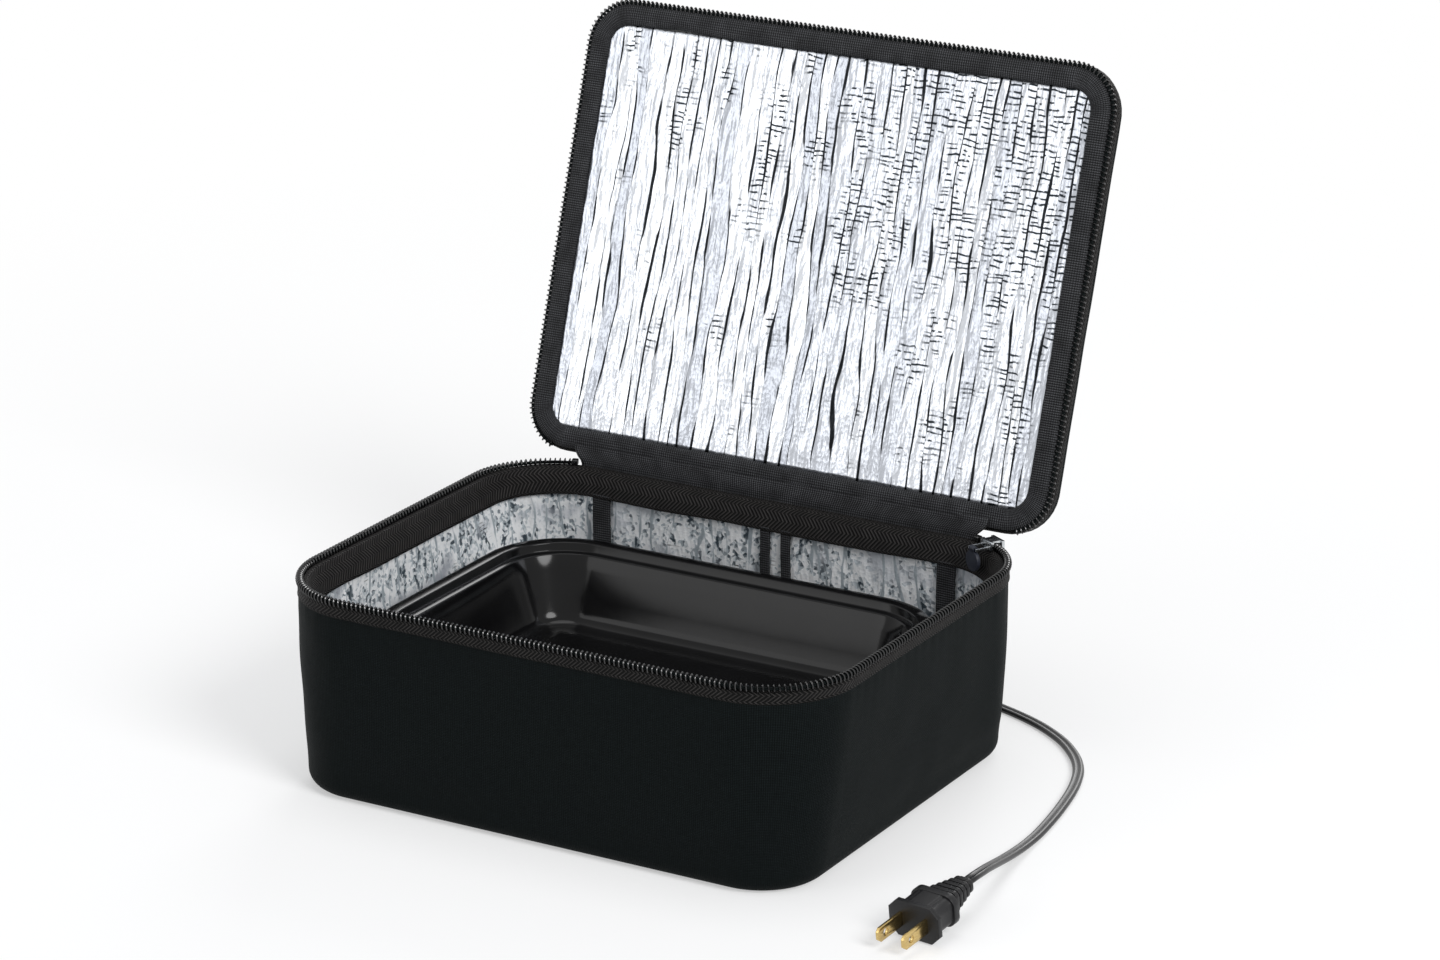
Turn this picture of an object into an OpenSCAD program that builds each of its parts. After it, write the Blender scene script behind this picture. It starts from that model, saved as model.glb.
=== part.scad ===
// Electric lunch box: an insulated zip-up bag with a hinged lid, a lift-out heating plate
// with a mains cord, and a food container that stands on the plate.
// Millimetres, +Z up. The origin is on the floor under the middle of the bag, and the bag's
// back wall and hinge face +Y. The lid is open and everything stands in its place.

/* [Bag] */
// Width of the bag at its base
body_w = 254; // [240:1:280]
// Depth of the bag at its base
body_d = 212; // [206:1:240]
// Height of the seam where the outer fabric meets the zip tape
seam_z = 88; // [80:1:130]
// How far each side leans out from the base to the rim
side_flare = 8; // [2:1:12]
// Corner radius at the base
base_r = 30; // [22:1:36]
// Corner radius at the rim
rim_r = 41; // [36:1:46]
// Roll of the soft edge round the base
edge_r = 6; // [3:1:8]
// Thickness of the woven outer fabric
fabric_t = 1.2; // [0.8:0.1:2]
// Thickness of the foam insulation
foam_t = 4.5; // [3:0.5:7]
// Thickness of the foil lining
foil_t = 0.8; // [0.5:0.1:1.2]
// Thickness of the stiff board in the base
board_t = 2.5; // [1.5:0.5:4]

/* [Zip] */
// Height of the zip tape above the seam
tape_h = 3.6; // [3:0.2:6]
// Height of one half of the zip coil
coil_h = 2.6; // [2:0.2:3]
// Depth of one half of the zip coil
coil_w = 2.2; // [1.6:0.2:2.6]
// How far the coil's teeth stand out
tooth_h = 0.8; // [0.4:0.1:1]
// Spacing of the coil's teeth
tooth_pitch = 3; // [2.5:0.5:5]
// Where round the rear corner the zip's coil ends, in degrees
zip_end = 72; // [66:1:80]
// Where round the rear corner the slider is parked, in degrees
park_angle = 60; // [30:1:60]
// Length of the slider along the coil
slider_len = 9; // [7:0.5:11]
// Diameter of the rubber pull disc
pull_d = 9.6; // [8:0.2:12]
// Height of the woven band inside the rim
band_h = 11.4; // [8:0.2:16]
// Width of the wide bindings on the inside of the back wall
binding_w = 9.5; // [7:0.5:12]
// Distance from the bag's right side to the middle of the binding there
binding_right = 34.5; // [30:0.5:48]
// Distance from the bag's left side to the middle of the binding there
binding_left = 40; // [30:0.5:48]
// Width of the narrow bindings beside the slit for the cord
slit_bind_w = 5; // [4:0.5:7]

/* [Lid] */
// How much shorter the lid is than the bag is deep
lid_short = 2; // [0:0.5:8]
// Corner radius of the lid
lid_r = 21; // [14:1:30]
// Thickness of the lid
lid_t = 14; // [12:0.5:20]
// Angle of the open lid above the floor behind the bag, in degrees
lid_tilt = 71.5; // [60:0.5:90]
// Width of the woven binding round the lid's foil
lid_bind_w = 8; // [5:0.5:12]
// Length of the carrying handle
handle_len = 140; // [110:5:170]
// Width of the handle's webbing
webbing_w = 25; // [20:1:38]
// Thickness of the handle's webbing
webbing_t = 1.8; // [1.2:0.1:3]
// Room for fingers under the middle of the handle
handle_gap = 18; // [14:1:26]

/* [Heating plate] */
// Room between the heating unit and the lining at either side
unit_side = 2.9; // [2:0.1:12]
// Room between the heating unit and the lining at the front and the back
unit_end = 12.4; // [11:0.1:24]
// Corner radius of the heating unit
unit_r = 14.5; // [11:0.5:20]
// Height of the heating unit on its feet
unit_h = 20; // [19:0.5:28]
// Height of its side skirt without the feet
skirt_h = 12.4; // [12:0.2:15]
// Wall of the moulded housing
housing_wall = 2.2; // [1.6:0.1:3]
// Height of the lip round the metal plate
lip_h = 2; // [1:0.2:3]
// Width of the lip round the metal plate
lip_w = 1.6; // [1.2:0.1:2.4]
// Thickness of the metal heating plate
metal_t = 1.5; // [1:0.1:2]
// Length of each corner foot along the sides
foot_len = 24; // [20:1:34]
// Slope of a foot's inner side, as its width
foot_slope = 4.4; // [2:0.2:8]
// Width of the notch in the rear lip
notch_w = 15; // [8:1:24]
// Thickness of the rubber foot pads
pad_t = 0.8; // [0.5:0.1:1.5]
// Radius of the rubber foot pads
pad_r = 6; // [4:0.5:7]

/* [Container] */
// How far the container's rim lies inside the heating unit's sides
tray_side = 6; // [3:0.5:16]
// How far the container's rim lies inside the heating unit's front and back
tray_end = 8.5; // [4:0.5:16]
// Height of the container
tray_h = 38; // [30:1:48]
// Corner radius of the container's rim
tray_r = 38; // [30:1:44]
// How far the walls taper in from the rim to the bottom, each side
tray_taper = 18; // [12:1:22]
// Wall of the container
tray_wall = 1.1; // [0.8:0.1:1.6]
// Width of the container's rim flange
flange_w = 6; // [4:0.5:8]

/* [Cord] */
// Width of the flat two-core cord
cord_w = 5.2; // [4.6:0.1:5.8]
// Thickness of the flat two-core cord
cord_t = 2.6; // [2.2:0.1:2.8]
// Distance from the bag's middle to the cord's way out, to the right
cord_x = 5; // [0:1:12]
// Height of the cord's way out of the bag
outlet_z = 14; // [14:0.5:16]
// Length of the tapered strain relief outside the bag
relief_len = 20; // [18:1:30]

/* [Plug] */
// Distance between the two blades
blade_pitch = 12.7; // [12.5:0.1:13]
// Length of the blades
blade_len = 16.5; // [15.5:0.5:18]
// Width of a blade
blade_w = 6.3; // [6:0.1:6.6]
// Thickness of a blade
blade_t = 1.5; // [1.3:0.1:1.7]
// Width of the plug's face
face_w = 25; // [23:0.5:28]
// Height of the plug's face
face_h = 16.6; // [14:0.2:18]

/* [Hidden] */

$fn = 48;
// Clearance between two pieces that lie against each other
gap = 0.3;
// Overlap of a cut past the face that it opens
cut = 1;
// Facets of a lofted skin round each corner
corner_steps = 8;

// Sizes across the walls, from the outer fabric inwards
foam_in = fabric_t + gap;
lining_in = foam_in + foam_t + gap;
cavity_in = lining_in + foil_t;
board_z = fabric_t + gap;
foam_z = board_z + board_t + gap;
lining_z = foam_z + foam_t + gap;
floor_z = lining_z + foil_t;
rim_w = body_w + 2 * side_flare;
lid_w = rim_w;
lid_len = body_d - lid_short;
coil_z = seam_z + tape_h;
coil_top = coil_z + coil_h;
band_top = coil_z - 0.2;
lining_roll = 2.2;
back_y = body_d / 2;
wall_y = back_y - cavity_in;

// The lid's hinge line, just behind and above the rear rim
slider_top = coil_top + 1.3;
strip_t = 1;
hinge_y = back_y + gap + strip_t + 0.1;
hinge_z = slider_top + 0.4;

// Round the rear right corner, where the slider is parked
corner_x = rim_w / 2 - rim_r;
corner_y = body_d / 2 - rim_r;
bail_r = 0.6;
bail_x = rim_r - 10.8;
bail_z = band_top + 1.5;
bail_half = 2.9;
neck_w = 3.6;
pull_t = 1.6;
pull_drop = 5.6;

// The heating unit fits in the lining and the container on the unit
unit_w = body_w - 2 * (cavity_in + unit_side);
unit_d = body_d - 2 * (cavity_in + unit_end);
tray_w = unit_w - 2 * tray_side;
tray_d = unit_d - 2 * tray_end;

// Levels of the heating unit, from its foot pads up
unit_z = floor_z + gap + pad_t;
unit_top = unit_z + unit_h;
skirt_z = unit_top - skirt_h;
metal_top = unit_top - lip_h;
ledge_t = 1.6;
ledge_w = 10;
metal_z = metal_top - metal_t;
ledge_z = metal_z - 0.1 - ledge_t;
cover_t = 1.8;
cover_z = skirt_z + 0.2;
cover_top = cover_z + cover_t;
element_t = 0.6;
element_z = metal_z - 0.1 - element_t;
pad_z = element_z - gap - 2;
pad_h = 2;
screw_in = 7;
screw_r = 1.25;
head_r = 2.8;
head_h = 0.8;
boss_r = 3.2;
notch_x = -3;
boot_z = (cover_top + ledge_z) / 2;
boot_h = 3.8;
boot_len = 5.5;

// The container stands on the metal plate
tray_z = metal_top + gap;
tray_top = tray_z + tray_h;

// Cord: half sizes of its section, and its height where it lies on the floor
half_w = cord_w / 2;
half_t = cord_t / 2;
lie_z = half_t + 0.1;
flat_section = [[half_w, 0.5], [half_w - 0.7, half_t], [0.7 - half_w, half_t], [-half_w, 0.5],
    [-half_w, -0.5], [0.7 - half_w, -half_t], [half_w - 0.7, -half_t], [half_w, -0.5]];
coil_section = [[half_w, 0], [half_w - 1, half_t], [1 - half_w, half_t], [-half_w, 0],
    [1 - half_w, -half_t], [half_w - 1, -half_t]];

// The coil of spare cord on the floor behind the bag
coil_c = [40, 157];
coil_in_r = 21.5;
coil_rate = 6.9;
coil_from = 160;
coil_turns = 4 + 122 / 360;
coil_level = 0.1;
coil_rings = 24;
coil_rise = cord_t + 1;
coil_lift = 0.9;
tie_w = 6;
tie_t = 0.7;

// How far the cord runs straight where it meets another piece
straight = 4;

// The cord's route from the bag to the coil, and from the coil to the plug
outlet_y = back_y + 1.8 + relief_len;
route_in = [[cord_x, outlet_y, outlet_z], [5, 131, 14], [4.6, 135.4, 13.4], [3.8, 139.9, 12],
    [2.8, 144.3, 10.3], [2.2, 148.7, 8.6], [2, 153, 7.1], [2.5, 157, 6.3]];
route_out = [[77, 168.1, 2.1], [81, 161.6, 1.8], [84.6, 154.7, 1.5], [88.4, 147.6, 1.4],
    [93.4, 140.8, 1.4], [99.8, 135.6, 1.4],
    [111, 131.2, 1.4], [120, 127.4, 1.4], [129, 122.8, 1.4], [138, 117, 1.4], [146.4, 110.4, 1.4],
    [154, 102.6, 1.4], [160.8, 94, 1.4], [166.6, 84, 1.4], [171, 73, 1.4], [174.6, 61, 1.4],
    [177.4, 48.6, 1.4], [179.8, 36, 1.4], [181.8, 23, 1.4], [183.4, 10, 1.5], [184.6, -3, 2.2],
    [186, -16, 3.8], [187.8, -29, 6.2], [189.8, -41.5, 9], [191.8, -53, 11.7], [193.2, -62, 13.4]];

// The plug: its face centre, heading and tilt on the floor
plug_at = [188.2, -110.8, 8.6];
plug_heading = -98;
plug_tilt = 8;
face_t = 2.4;
body_len = 11;
collar_t = 3.4;
plug_relief_len = 20;
plug_len = face_t + body_len + collar_t + plug_relief_len;
plug_relief_ribs = 6;

// ---------------------------------------------------------------- shared shapes

// A rectangle with round corners, drawn about its middle
module rounded(w, d, r) {
    square([w - 2 * r, d], center = true);
    square([w, d - 2 * r], center = true);
    for (x = [-1, 1], y = [-1, 1])
        translate([x * (w / 2 - r), y * (d / 2 - r)])
            circle(r);
}

// A flat ring between a rounded rectangle inset by a and the same inset by b
module ring(w, d, r, a, b) {
    difference() {
        rounded(w - 2 * a, d - 2 * a, r - a);
        rounded(w - 2 * b, d - 2 * b, r - b);
    }
}

module slab(z, h) {
    translate([0, 0, z])
        linear_extrude(h)
            children();
}

// Points round such a rectangle at height z, with as many on every ring
function outline(w, d, r, z) =
    [for (c = [0 : 3], k = [0 : corner_steps])
        let (a = 90 * (c + k / corner_steps), side = c == 0 || c == 3 ? 1 : -1, end = c < 2 ? 1 : -1)
        [side * (w / 2 - r) + r * cos(a), end * (d / 2 - r) + r * sin(a), z]];

// A closed form through rings of points, from the bottom up
module loft(rings) {
    n = len(rings[0]);
    top = (len(rings) - 1) * n;
    sides = [for (i = [0 : len(rings) - 2], k = [0 : n - 1], h = [0, 1])
        let (a = i * n + k, b = i * n + (k + 1) % n)
        h == 0 ? [a, a + n, b + n] : [a, b + n, b]];
    ends = [[for (k = [0 : n - 1]) k], [for (k = [n - 1 : -1 : 0]) top + k]];
    polyhedron([for (ring = rings, point = ring) point], concat(ends, sides));
}

// The bag's outline at height z, inset from its outer face
function bag_ring(z, inset) =
    let (share = z / seam_z)
    outline(body_w + 2 * side_flare * share - 2 * inset, body_d - 2 * inset,
        base_r + (rim_r - base_r) * share - inset, z);

// The bag's lofted form between two heights, with a rolled edge round its bottom
module bag_form(z0, z1, inset, roll) {
    loft(concat(
        [for (a = [0 : 30 : 90]) bag_ring(z0 + roll * (1 - cos(a)), inset + roll * (1 - sin(a)))],
        [bag_ring(z1, inset)]));
}

// A hole through the back wall for the cord's outlet
module outlet_hole(w, h) {
    translate([cord_x, back_y + 3, outlet_z])
        rotate([90, 0, 0])
            linear_extrude(cavity_in + 6)
                rounded(w, h, h / 2 - 0.05);
}

// Lengths of a zip half's straight and round stretches, from rear corner to rear corner
function zip_arc(r) = r * zip_end * PI / 180;
function quarter(r) = r * PI / 2;
function zip_length(w, d, r) = 2 * zip_arc(r) + 2 * (d - 2 * r) + 2 * quarter(r) + w - 2 * r;

// A point of the right half of that path, s along it from the rear end, off outwards
function zip_half(s, w, d, r, off) =
    let (a = zip_arc(r), b = a + d - 2 * r, c = b + quarter(r))
    s < a ? [w / 2 - r + (r + off) * cos(zip_end - s / r * 180 / PI),
             d / 2 - r + (r + off) * sin(zip_end - s / r * 180 / PI)] :
    s < b ? [w / 2 + off, d / 2 - r - (s - a)] :
    s < c ? [w / 2 - r + (r + off) * cos((s - b) / r * 180 / PI),
             r - d / 2 - (r + off) * sin((s - b) / r * 180 / PI)] :
    [w / 2 - r - (s - c), -d / 2 - off];

// The whole path: its left half mirrors the right one
function zip_point(s, w, d, r, off) =
    let (whole = zip_length(w, d, r))
    s <= whole / 2 ? zip_half(s, w, d, r, off) :
    let (p = zip_half(whole - s, w, d, r, off)) [-p[0], p[1]];

// One half of the zip: a bead along three sides with a tooth at every pitch
module zip_teeth(w, d, r) {
    whole = zip_length(w, d, r);
    n = floor(whole / tooth_pitch);
    step = whole / n;
    outer = [for (i = [0 : n - 1], k = [0 : 3])
        zip_point((i + [0, 0.55, 0.55, 1][k]) * step, w, d, r, [tooth_h, tooth_h, 0, 0][k])];
    inner = [for (i = [n : -1 : 0]) zip_point(i * step, w, d, r, -coil_w)];
    polygon(concat(outer, inner));
}

// Places its children in the frame of the open lid: X across, Y from the hinge to the free
// edge, foil face at Z = 0 and the thickness below it
module on_lid() {
    translate([0, hinge_y, hinge_z])
        rotate([lid_tilt, 0, 0])
            translate([0, lid_len / 2 + gap, 0])
                children();
}

// Turns its children round the rear right corner of the rim, X outwards
module at_corner(angle) {
    translate([corner_x, corner_y, 0])
        rotate([0, 0, angle])
            children();
}

// ---------------------------------------------------------------- the bag

module outer_shell() {
    color("#14181a")
        difference() {
            bag_form(0, seam_z, 0, edge_r);
            bag_form(fabric_t, seam_z + cut, fabric_t, edge_r - fabric_t);
            outlet_hole(14.6, 9.6);
        }
}

module base_board() {
    inset = fabric_t + edge_r;
    color("#3b3b3b")
        slab(board_z, board_t)
            rounded(body_w - 2 * inset, body_d - 2 * inset, base_r - inset);
}

module insulation_foam() {
    color("#d9d9d4")
        difference() {
            bag_form(foam_z, seam_z - gap, foam_in, 3);
            bag_form(foam_z + foam_t, seam_z + cut, foam_in + foam_t, 3);
            outlet_hole(14.6, 9.6);
        }
}

module foil_lining() {
    slit_w = 2.6;
    slit_top = seam_z - 18;
    color("#c9d2d4")
        difference() {
            bag_form(lining_z, seam_z - gap, lining_in, 2.6);
            bag_form(floor_z, seam_z + cut, cavity_in, lining_roll);
            outlet_hole(14.6, 9.6);
            translate([cord_x - slit_w / 2, wall_y - cut, outlet_z])
                cube([slit_w, foil_t + 2 * cut - gap, slit_top - outlet_z]);
        }
}

// The woven band over the top of the wall, which hangs down inside it
module rim_band() {
    leg_in = cavity_in + 1.1;
    leg_t = 1;
    color("#121212") {
        slab(seam_z + 0.1, band_top - seam_z - 0.1)
            ring(rim_w, body_d, rim_r, fabric_t + gap, leg_in + leg_t);
        slab(band_top - band_h, band_h)
            ring(rim_w, body_d, rim_r, leg_in, leg_in + leg_t);
    }
}

module rim_zip_tape() {
    color("#191919")
        slab(seam_z, tape_h)
            ring(rim_w, body_d, rim_r, 0, fabric_t);
}

module rim_zip_coil() {
    color("#0b0b0b")
        slab(coil_z, coil_h)
            zip_teeth(rim_w, body_d, rim_r);
}

module zip_end_stops() {
    stop_len = tooth_pitch;
    color("#101010")
        for (side = [0, 1])
            mirror([side, 0, 0])
                at_corner(zip_end)
                    translate([rim_r - coil_w, gap / 2, coil_z])
                        cube([coil_w + tooth_h, stop_len, coil_h]);
}

// A bound seam on the inside of the back wall
module bound_strip(x, w, z0) {
    fold_t = 1.1;
    translate([x - w / 2, wall_y - gap - fold_t, z0])
        cube([w, fold_t, band_top - band_h - gap - z0]);
}

module seam_binding_left() {
    color("#121212")
        bound_strip(binding_left - body_w / 2, binding_w, floor_z + lining_roll + 0.8);
}

module seam_binding_right() {
    color("#121212")
        bound_strip(body_w / 2 - binding_right, binding_w, floor_z + lining_roll + 0.8);
}

module slit_bindings() {
    slit_gap = cord_w + 2 * gap;
    color("#121212")
        for (side = [-1, 1])
            bound_strip(cord_x + side * (slit_bind_w + slit_gap) / 2, slit_bind_w, outlet_z + cord_w + 1.8);
}

module hinge_strip() {
    strip_h = 12;
    color("#131313")
        translate([gap - corner_x, back_y + gap, hinge_z - gap - strip_h])
            cube([2 * corner_x - 2 * gap, strip_t, strip_h]);
}

// A grommet through the back wall, with a ribbed and tapered strain relief behind it
module cord_outlet() {
    flange_t = 1.5;
    ribs = 6;
    rib = relief_len / ribs;
    color("#0c0c0c")
        difference() {
            union() {
                outlet_part(wall_y, back_y + gap, 14, 9);
                outlet_part(back_y + gap, back_y + gap + flange_t, 20, 14);
                for (i = [0 : ribs - 1]) {
                    outlet_part(back_y + gap + flange_t + i * rib,
                        back_y + gap + flange_t + (i + 0.6) * rib, 13 - i, 9 - 0.7 * i);
                    outlet_part(back_y + gap + flange_t + i * rib,
                        back_y + gap + flange_t + (i + 1) * rib, 11 - 0.7 * i, 6.6 - 0.4 * i);
                }
            }
            outlet_part(wall_y - cut, outlet_y - 3, cord_w + 0.2, cord_t + 0.2);
        }
}

// A flat-sided round bar through the back wall, from y0 to y1
module outlet_part(y0, y1, w, h) {
    translate([cord_x, y1, outlet_z])
        rotate([90, 0, 0])
            linear_extrude(y1 - y0)
                rounded(w, h, h / 2 - 0.05);
}

// ---------------------------------------------------------------- the lid

module lid_outer_panel() {
    wall_top = -8;
    color("#14181a")
        on_lid()
            difference() {
                slab(-lid_t, lid_t + wall_top)
                    rounded(lid_w, lid_len, lid_r);
                slab(fabric_t - lid_t, lid_t)
                    rounded(lid_w - 2 * fabric_t, lid_len - 2 * fabric_t, lid_r - fabric_t);
            }
}

module lid_foam() {
    inset = coil_w + gap;
    low = fabric_t + gap;
    color("#d9d9d4")
        on_lid()
            slab(low - lid_t, lid_t - low - 2)
                rounded(lid_w - 2 * inset, lid_len - 2 * inset, lid_r - inset);
}

module lid_foil_panel() {
    inset = coil_w + gap + lid_bind_w + gap;
    color("#ced6d8")
        on_lid()
            slab(-1.7, 1.5)
                rounded(lid_w - 2 * inset, lid_len - 2 * inset, lid_r - inset + 2);
}

module lid_binding() {
    inner = coil_w + gap;
    flap_w = 2 * (lid_w / 2 - lid_r - 4);
    flap_y = -lid_len / 2 - gap + 0.05;
    color("#121212")
        on_lid()
            slab(-1.7, 1.7) {
                ring(lid_w, lid_len, lid_r, inner, inner + lid_bind_w);
                // The rear edge runs on to the hinge strip, which it is sewn to
                translate([-flap_w / 2, flap_y])
                    square([flap_w, inner + lid_bind_w / 2]);
            }
}

module lid_zip_tape() {
    color("#191919")
        on_lid()
            slab(-7.8, 7.8 - coil_h)
                ring(lid_w, lid_len, lid_r, 0, fabric_t);
}

module lid_zip_coil() {
    color("#0b0b0b")
        on_lid()
            slab(-coil_h, coil_h)
                mirror([0, 1])
                    zip_teeth(lid_w, lid_len, lid_r);
}

// Webbing sewn down at both ends, with its middle bowed up for the fingers
module carry_handle() {
    foot = 22;
    tuck = 6;
    half = handle_len / 2;
    rise = handle_gap + webbing_t;
    // The bow is one arc through the ends of the sewn feet and the top
    bow = half - foot;
    arc_r = (bow * bow + rise * rise) / (2 * rise);
    color("#151515")
        on_lid()
            translate([0, webbing_w / 2, -lid_t])
                rotate([90, 0, 0])
                    linear_extrude(webbing_w)
                        mirror([0, 1])
                            difference() {
                                union() {
                                    for (side = [-1, 1])
                                        translate([side * (half + bow - tuck) / 2, webbing_t / 2])
                                            square([half - bow + tuck, webbing_t], center = true);
                                    intersection() {
                                        translate([0, rise - arc_r])
                                            circle(arc_r, $fn = 96);
                                        translate([-half, 0])
                                            square([handle_len, rise]);
                                    }
                                }
                                intersection() {
                                    translate([0, rise - arc_r])
                                        circle(arc_r - webbing_t, $fn = 96);
                                    translate([-half, -cut])
                                        square([handle_len, rise + cut]);
                                }
                            }
}

// ---------------------------------------------------------------- the zip's slider

module zip_slider() {
    half = slider_len / 2;
    outer_x = rim_r + tooth_h + 0.6;
    plate_t = 1.4;
    inner_x = rim_r - coil_w - 0.6 - plate_t;
    bridge_t = 1;
    arm_t = 0.9;
    color("#c4c6c8")
        at_corner(park_angle) {
            translate([outer_x, -half, seam_z + 1])
                cube([plate_t, slider_len, slider_top - seam_z - 1]);
            translate([rim_r + 0.7, -half, seam_z + 1])
                cube([outer_x - rim_r, slider_len, 1.8]);
            translate([inner_x, -half, band_top + 0.4])
                cube([plate_t, slider_len, slider_top - band_top - 0.4]);
            translate([inner_x, -half * 0.7, slider_top - bridge_t])
                cube([outer_x + plate_t - inner_x, slider_len * 0.7, bridge_t]);
            for (side = [-1, 1])
                translate([bail_x - bail_r, side * bail_half - arm_t / 2, bail_z - bail_r])
                    cube([inner_x - bail_x + 2 * bail_r, arm_t, 2 * bail_r]);
            translate([bail_x, bail_half, bail_z])
                rotate([90, 0, 0])
                    cylinder(h = 2 * bail_half, r = bail_r, $fn = 24);
        }
}

module pull_tab() {
    hole_r = bail_r + 0.1;
    color("#24262e")
        at_corner(park_angle)
            translate([bail_x, 0, bail_z])
                difference() {
                    union() {
                        translate([-pull_t / 2, 0, -pull_drop])
                            rotate([0, 90, 0])
                                cylinder(h = pull_t, d = pull_d, $fn = 40);
                        translate([-pull_t / 2, -neck_w / 2, -pull_drop])
                            cube([pull_t, neck_w, pull_drop]);
                        translate([0, neck_w / 2, 0])
                            rotate([90, 0, 0])
                                cylinder(h = neck_w, r = 1.3, $fn = 24);
                    }
                    translate([0, neck_w, 0])
                        rotate([90, 0, 0])
                            cylinder(h = 2 * neck_w, r = hole_r, $fn = 24);
                }
}

// ---------------------------------------------------------------- the heating unit

// A trapezoid window between two feet, through the whole housing
module foot_window(span, depth) {
    half = span / 2 - foot_len;
    rotate([90, 0, 0])
        translate([0, 0, -depth / 2])
            linear_extrude(depth)
                polygon([[-half, unit_z - cut], [-half, unit_z], [foot_slope - half, skirt_z],
                    [half - foot_slope, skirt_z], [half, unit_z], [half, unit_z - cut]]);
}

// The places of the screws that hold the bottom cover
module at_screws() {
    for (x = [-1, 1]) {
        for (y = [-1, 1])
            translate([x * (unit_w / 2 - foot_len - screw_in), y * (unit_d / 2 - screw_in), 0])
                children();
        translate([x * (unit_w / 2 - screw_in), 0, 0])
            children();
    }
}

module plate_housing() {
    notch_slope = 2;
    color("#262733")
        difference() {
            union() {
                difference() {
                    slab(unit_z, unit_h)
                        rounded(unit_w, unit_d, unit_r);
                    slab(unit_z + 2, unit_h)
                        rounded(unit_w - 2 * housing_wall, unit_d - 2 * housing_wall,
                            unit_r - housing_wall);
                }
                slab(ledge_z, ledge_t)
                    ring(unit_w, unit_d, unit_r, housing_wall / 2, ledge_w);
                intersection() {
                    at_screws()
                        translate([0, 0, cover_top + 0.1])
                            cylinder(h = ledge_z - cover_top, r = boss_r);
                    slab(unit_z, unit_h)
                        rounded(unit_w, unit_d, unit_r);
                }
            }
            slab(metal_z, unit_h)
                rounded(unit_w - 2 * lip_w, unit_d - 2 * lip_w, unit_r - lip_w);
            foot_window(unit_w, 2 * unit_d);
            rotate([0, 0, 90])
                foot_window(unit_d, 2 * unit_w);
            at_screws()
                translate([0, 0, cover_top - cut])
                    cylinder(h = ledge_z - cover_top + cut, r = screw_r + 0.05, $fn = 24);
            // The notch in the rear lip
            translate([notch_x, unit_d / 2 + cut, 0])
                rotate([90, 0, 0])
                    linear_extrude(lip_w + 2 * cut)
                        polygon([[-notch_w / 2, metal_top], [notch_w / 2, metal_top],
                            [notch_w / 2 + notch_slope, unit_top + cut],
                            [-notch_w / 2 - notch_slope, unit_top + cut]]);
            // The way out for the cord
            translate([cord_x, unit_d / 2 + cut, boot_z])
                rotate([90, 0, 0])
                    linear_extrude(housing_wall + 2 * cut)
                        rounded(8.4, boot_h + 0.4, 2);
        }
}

module heating_plate() {
    inset = lip_w + 0.15;
    color("#3c4648")
        slab(metal_z + 0.05, metal_t - 0.05)
            rounded(unit_w - 2 * inset, unit_d - 2 * inset, unit_r - inset);
}

// The cover between the feet, with stiffening ribs on its inner side
module bottom_cover() {
    inset = housing_wall + gap;
    rib_h = 1.2;
    color("#1d1e26")
        difference() {
            union() {
                slab(cover_z, cover_t)
                    rounded(unit_w - 2 * inset, unit_d - 2 * inset, unit_r - inset);
                for (x = [-70 : 35 : 70])
                    translate([x - 0.8, -unit_d * 0.3, cover_top - 0.1])
                        cube([1.6, unit_d * 0.6, rib_h + 0.1]);
            }
            at_screws()
                translate([0, 0, cover_z - cut])
                    cylinder(h = cover_t + 2 * cut, r = screw_r + 0.15, $fn = 24);
        }
}

module cover_screws() {
    color("#9a9a9a")
        at_screws() {
            translate([0, 0, cover_z - head_h])
                difference() {
                    cylinder(h = head_h, r = head_r, $fn = 24);
                    translate([0, 0, -cut])
                        cylinder(h = cut + 0.4, r = 1.1, $fn = 6);
                }
            translate([0, 0, cover_z - 0.1])
                cylinder(h = cover_t + 3.2, r = screw_r, $fn = 24);
        }
}

// A resistance track that runs to and fro under the metal plate
module heating_element() {
    track = 3;
    runs = 11;
    run_w = unit_w - 2 * ledge_w - 24;
    pitch = (unit_d - 2 * ledge_w - 24) / (runs - 1);
    color("#b5762c")
        slab(element_z, element_t)
            for (i = [0 : runs - 1]) {
                translate([0, (i - (runs - 1) / 2) * pitch])
                    square([run_w, track], center = true);
                if (i < runs - 1)
                    translate([(i % 2 == 0 ? 1 : -1) * (run_w - track) / 2,
                            (i + 0.5 - (runs - 1) / 2) * pitch])
                        square([track, pitch + track], center = true);
            }
}

module insulation_pad() {
    color("#e6e2d6")
        difference() {
            slab(pad_z, pad_h)
                rounded(unit_w - 2 * ledge_w - 4, unit_d - 2 * ledge_w - 4, 8);
            translate([40, 0, pad_z - cut])
                cylinder(h = pad_h + 2 * cut, r = 9);
            translate([cord_x - 24, unit_d / 2 - ledge_w - 26, pad_z - cut])
                cube([48, 30, pad_h + 2 * cut]);
        }
}

// A round snap-action thermostat pressed against the element
module thermostat() {
    body_z = element_z - gap - 3.6;
    color("#cfcac0") {
        translate([40, 0, body_z])
            cylinder(h = 3.6, r = 8);
        for (side = [-1, 1])
            translate([40 + side * 9 - 2.2, -1.5, body_z + 0.4])
                cube([4.4, 3, 0.8]);
    }
}

module thermal_fuse() {
    fuse_z = pad_z - gap - 1.6;
    color("#c9a24a")
        translate([-30, 0, fuse_z])
            rotate([0, 90, 0]) {
                cylinder(h = 12, r = 1.6, $fn = 24);
                translate([0, 0, -5])
                    cylinder(h = 22, r = 0.6, $fn = 16);
            }
}

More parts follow.
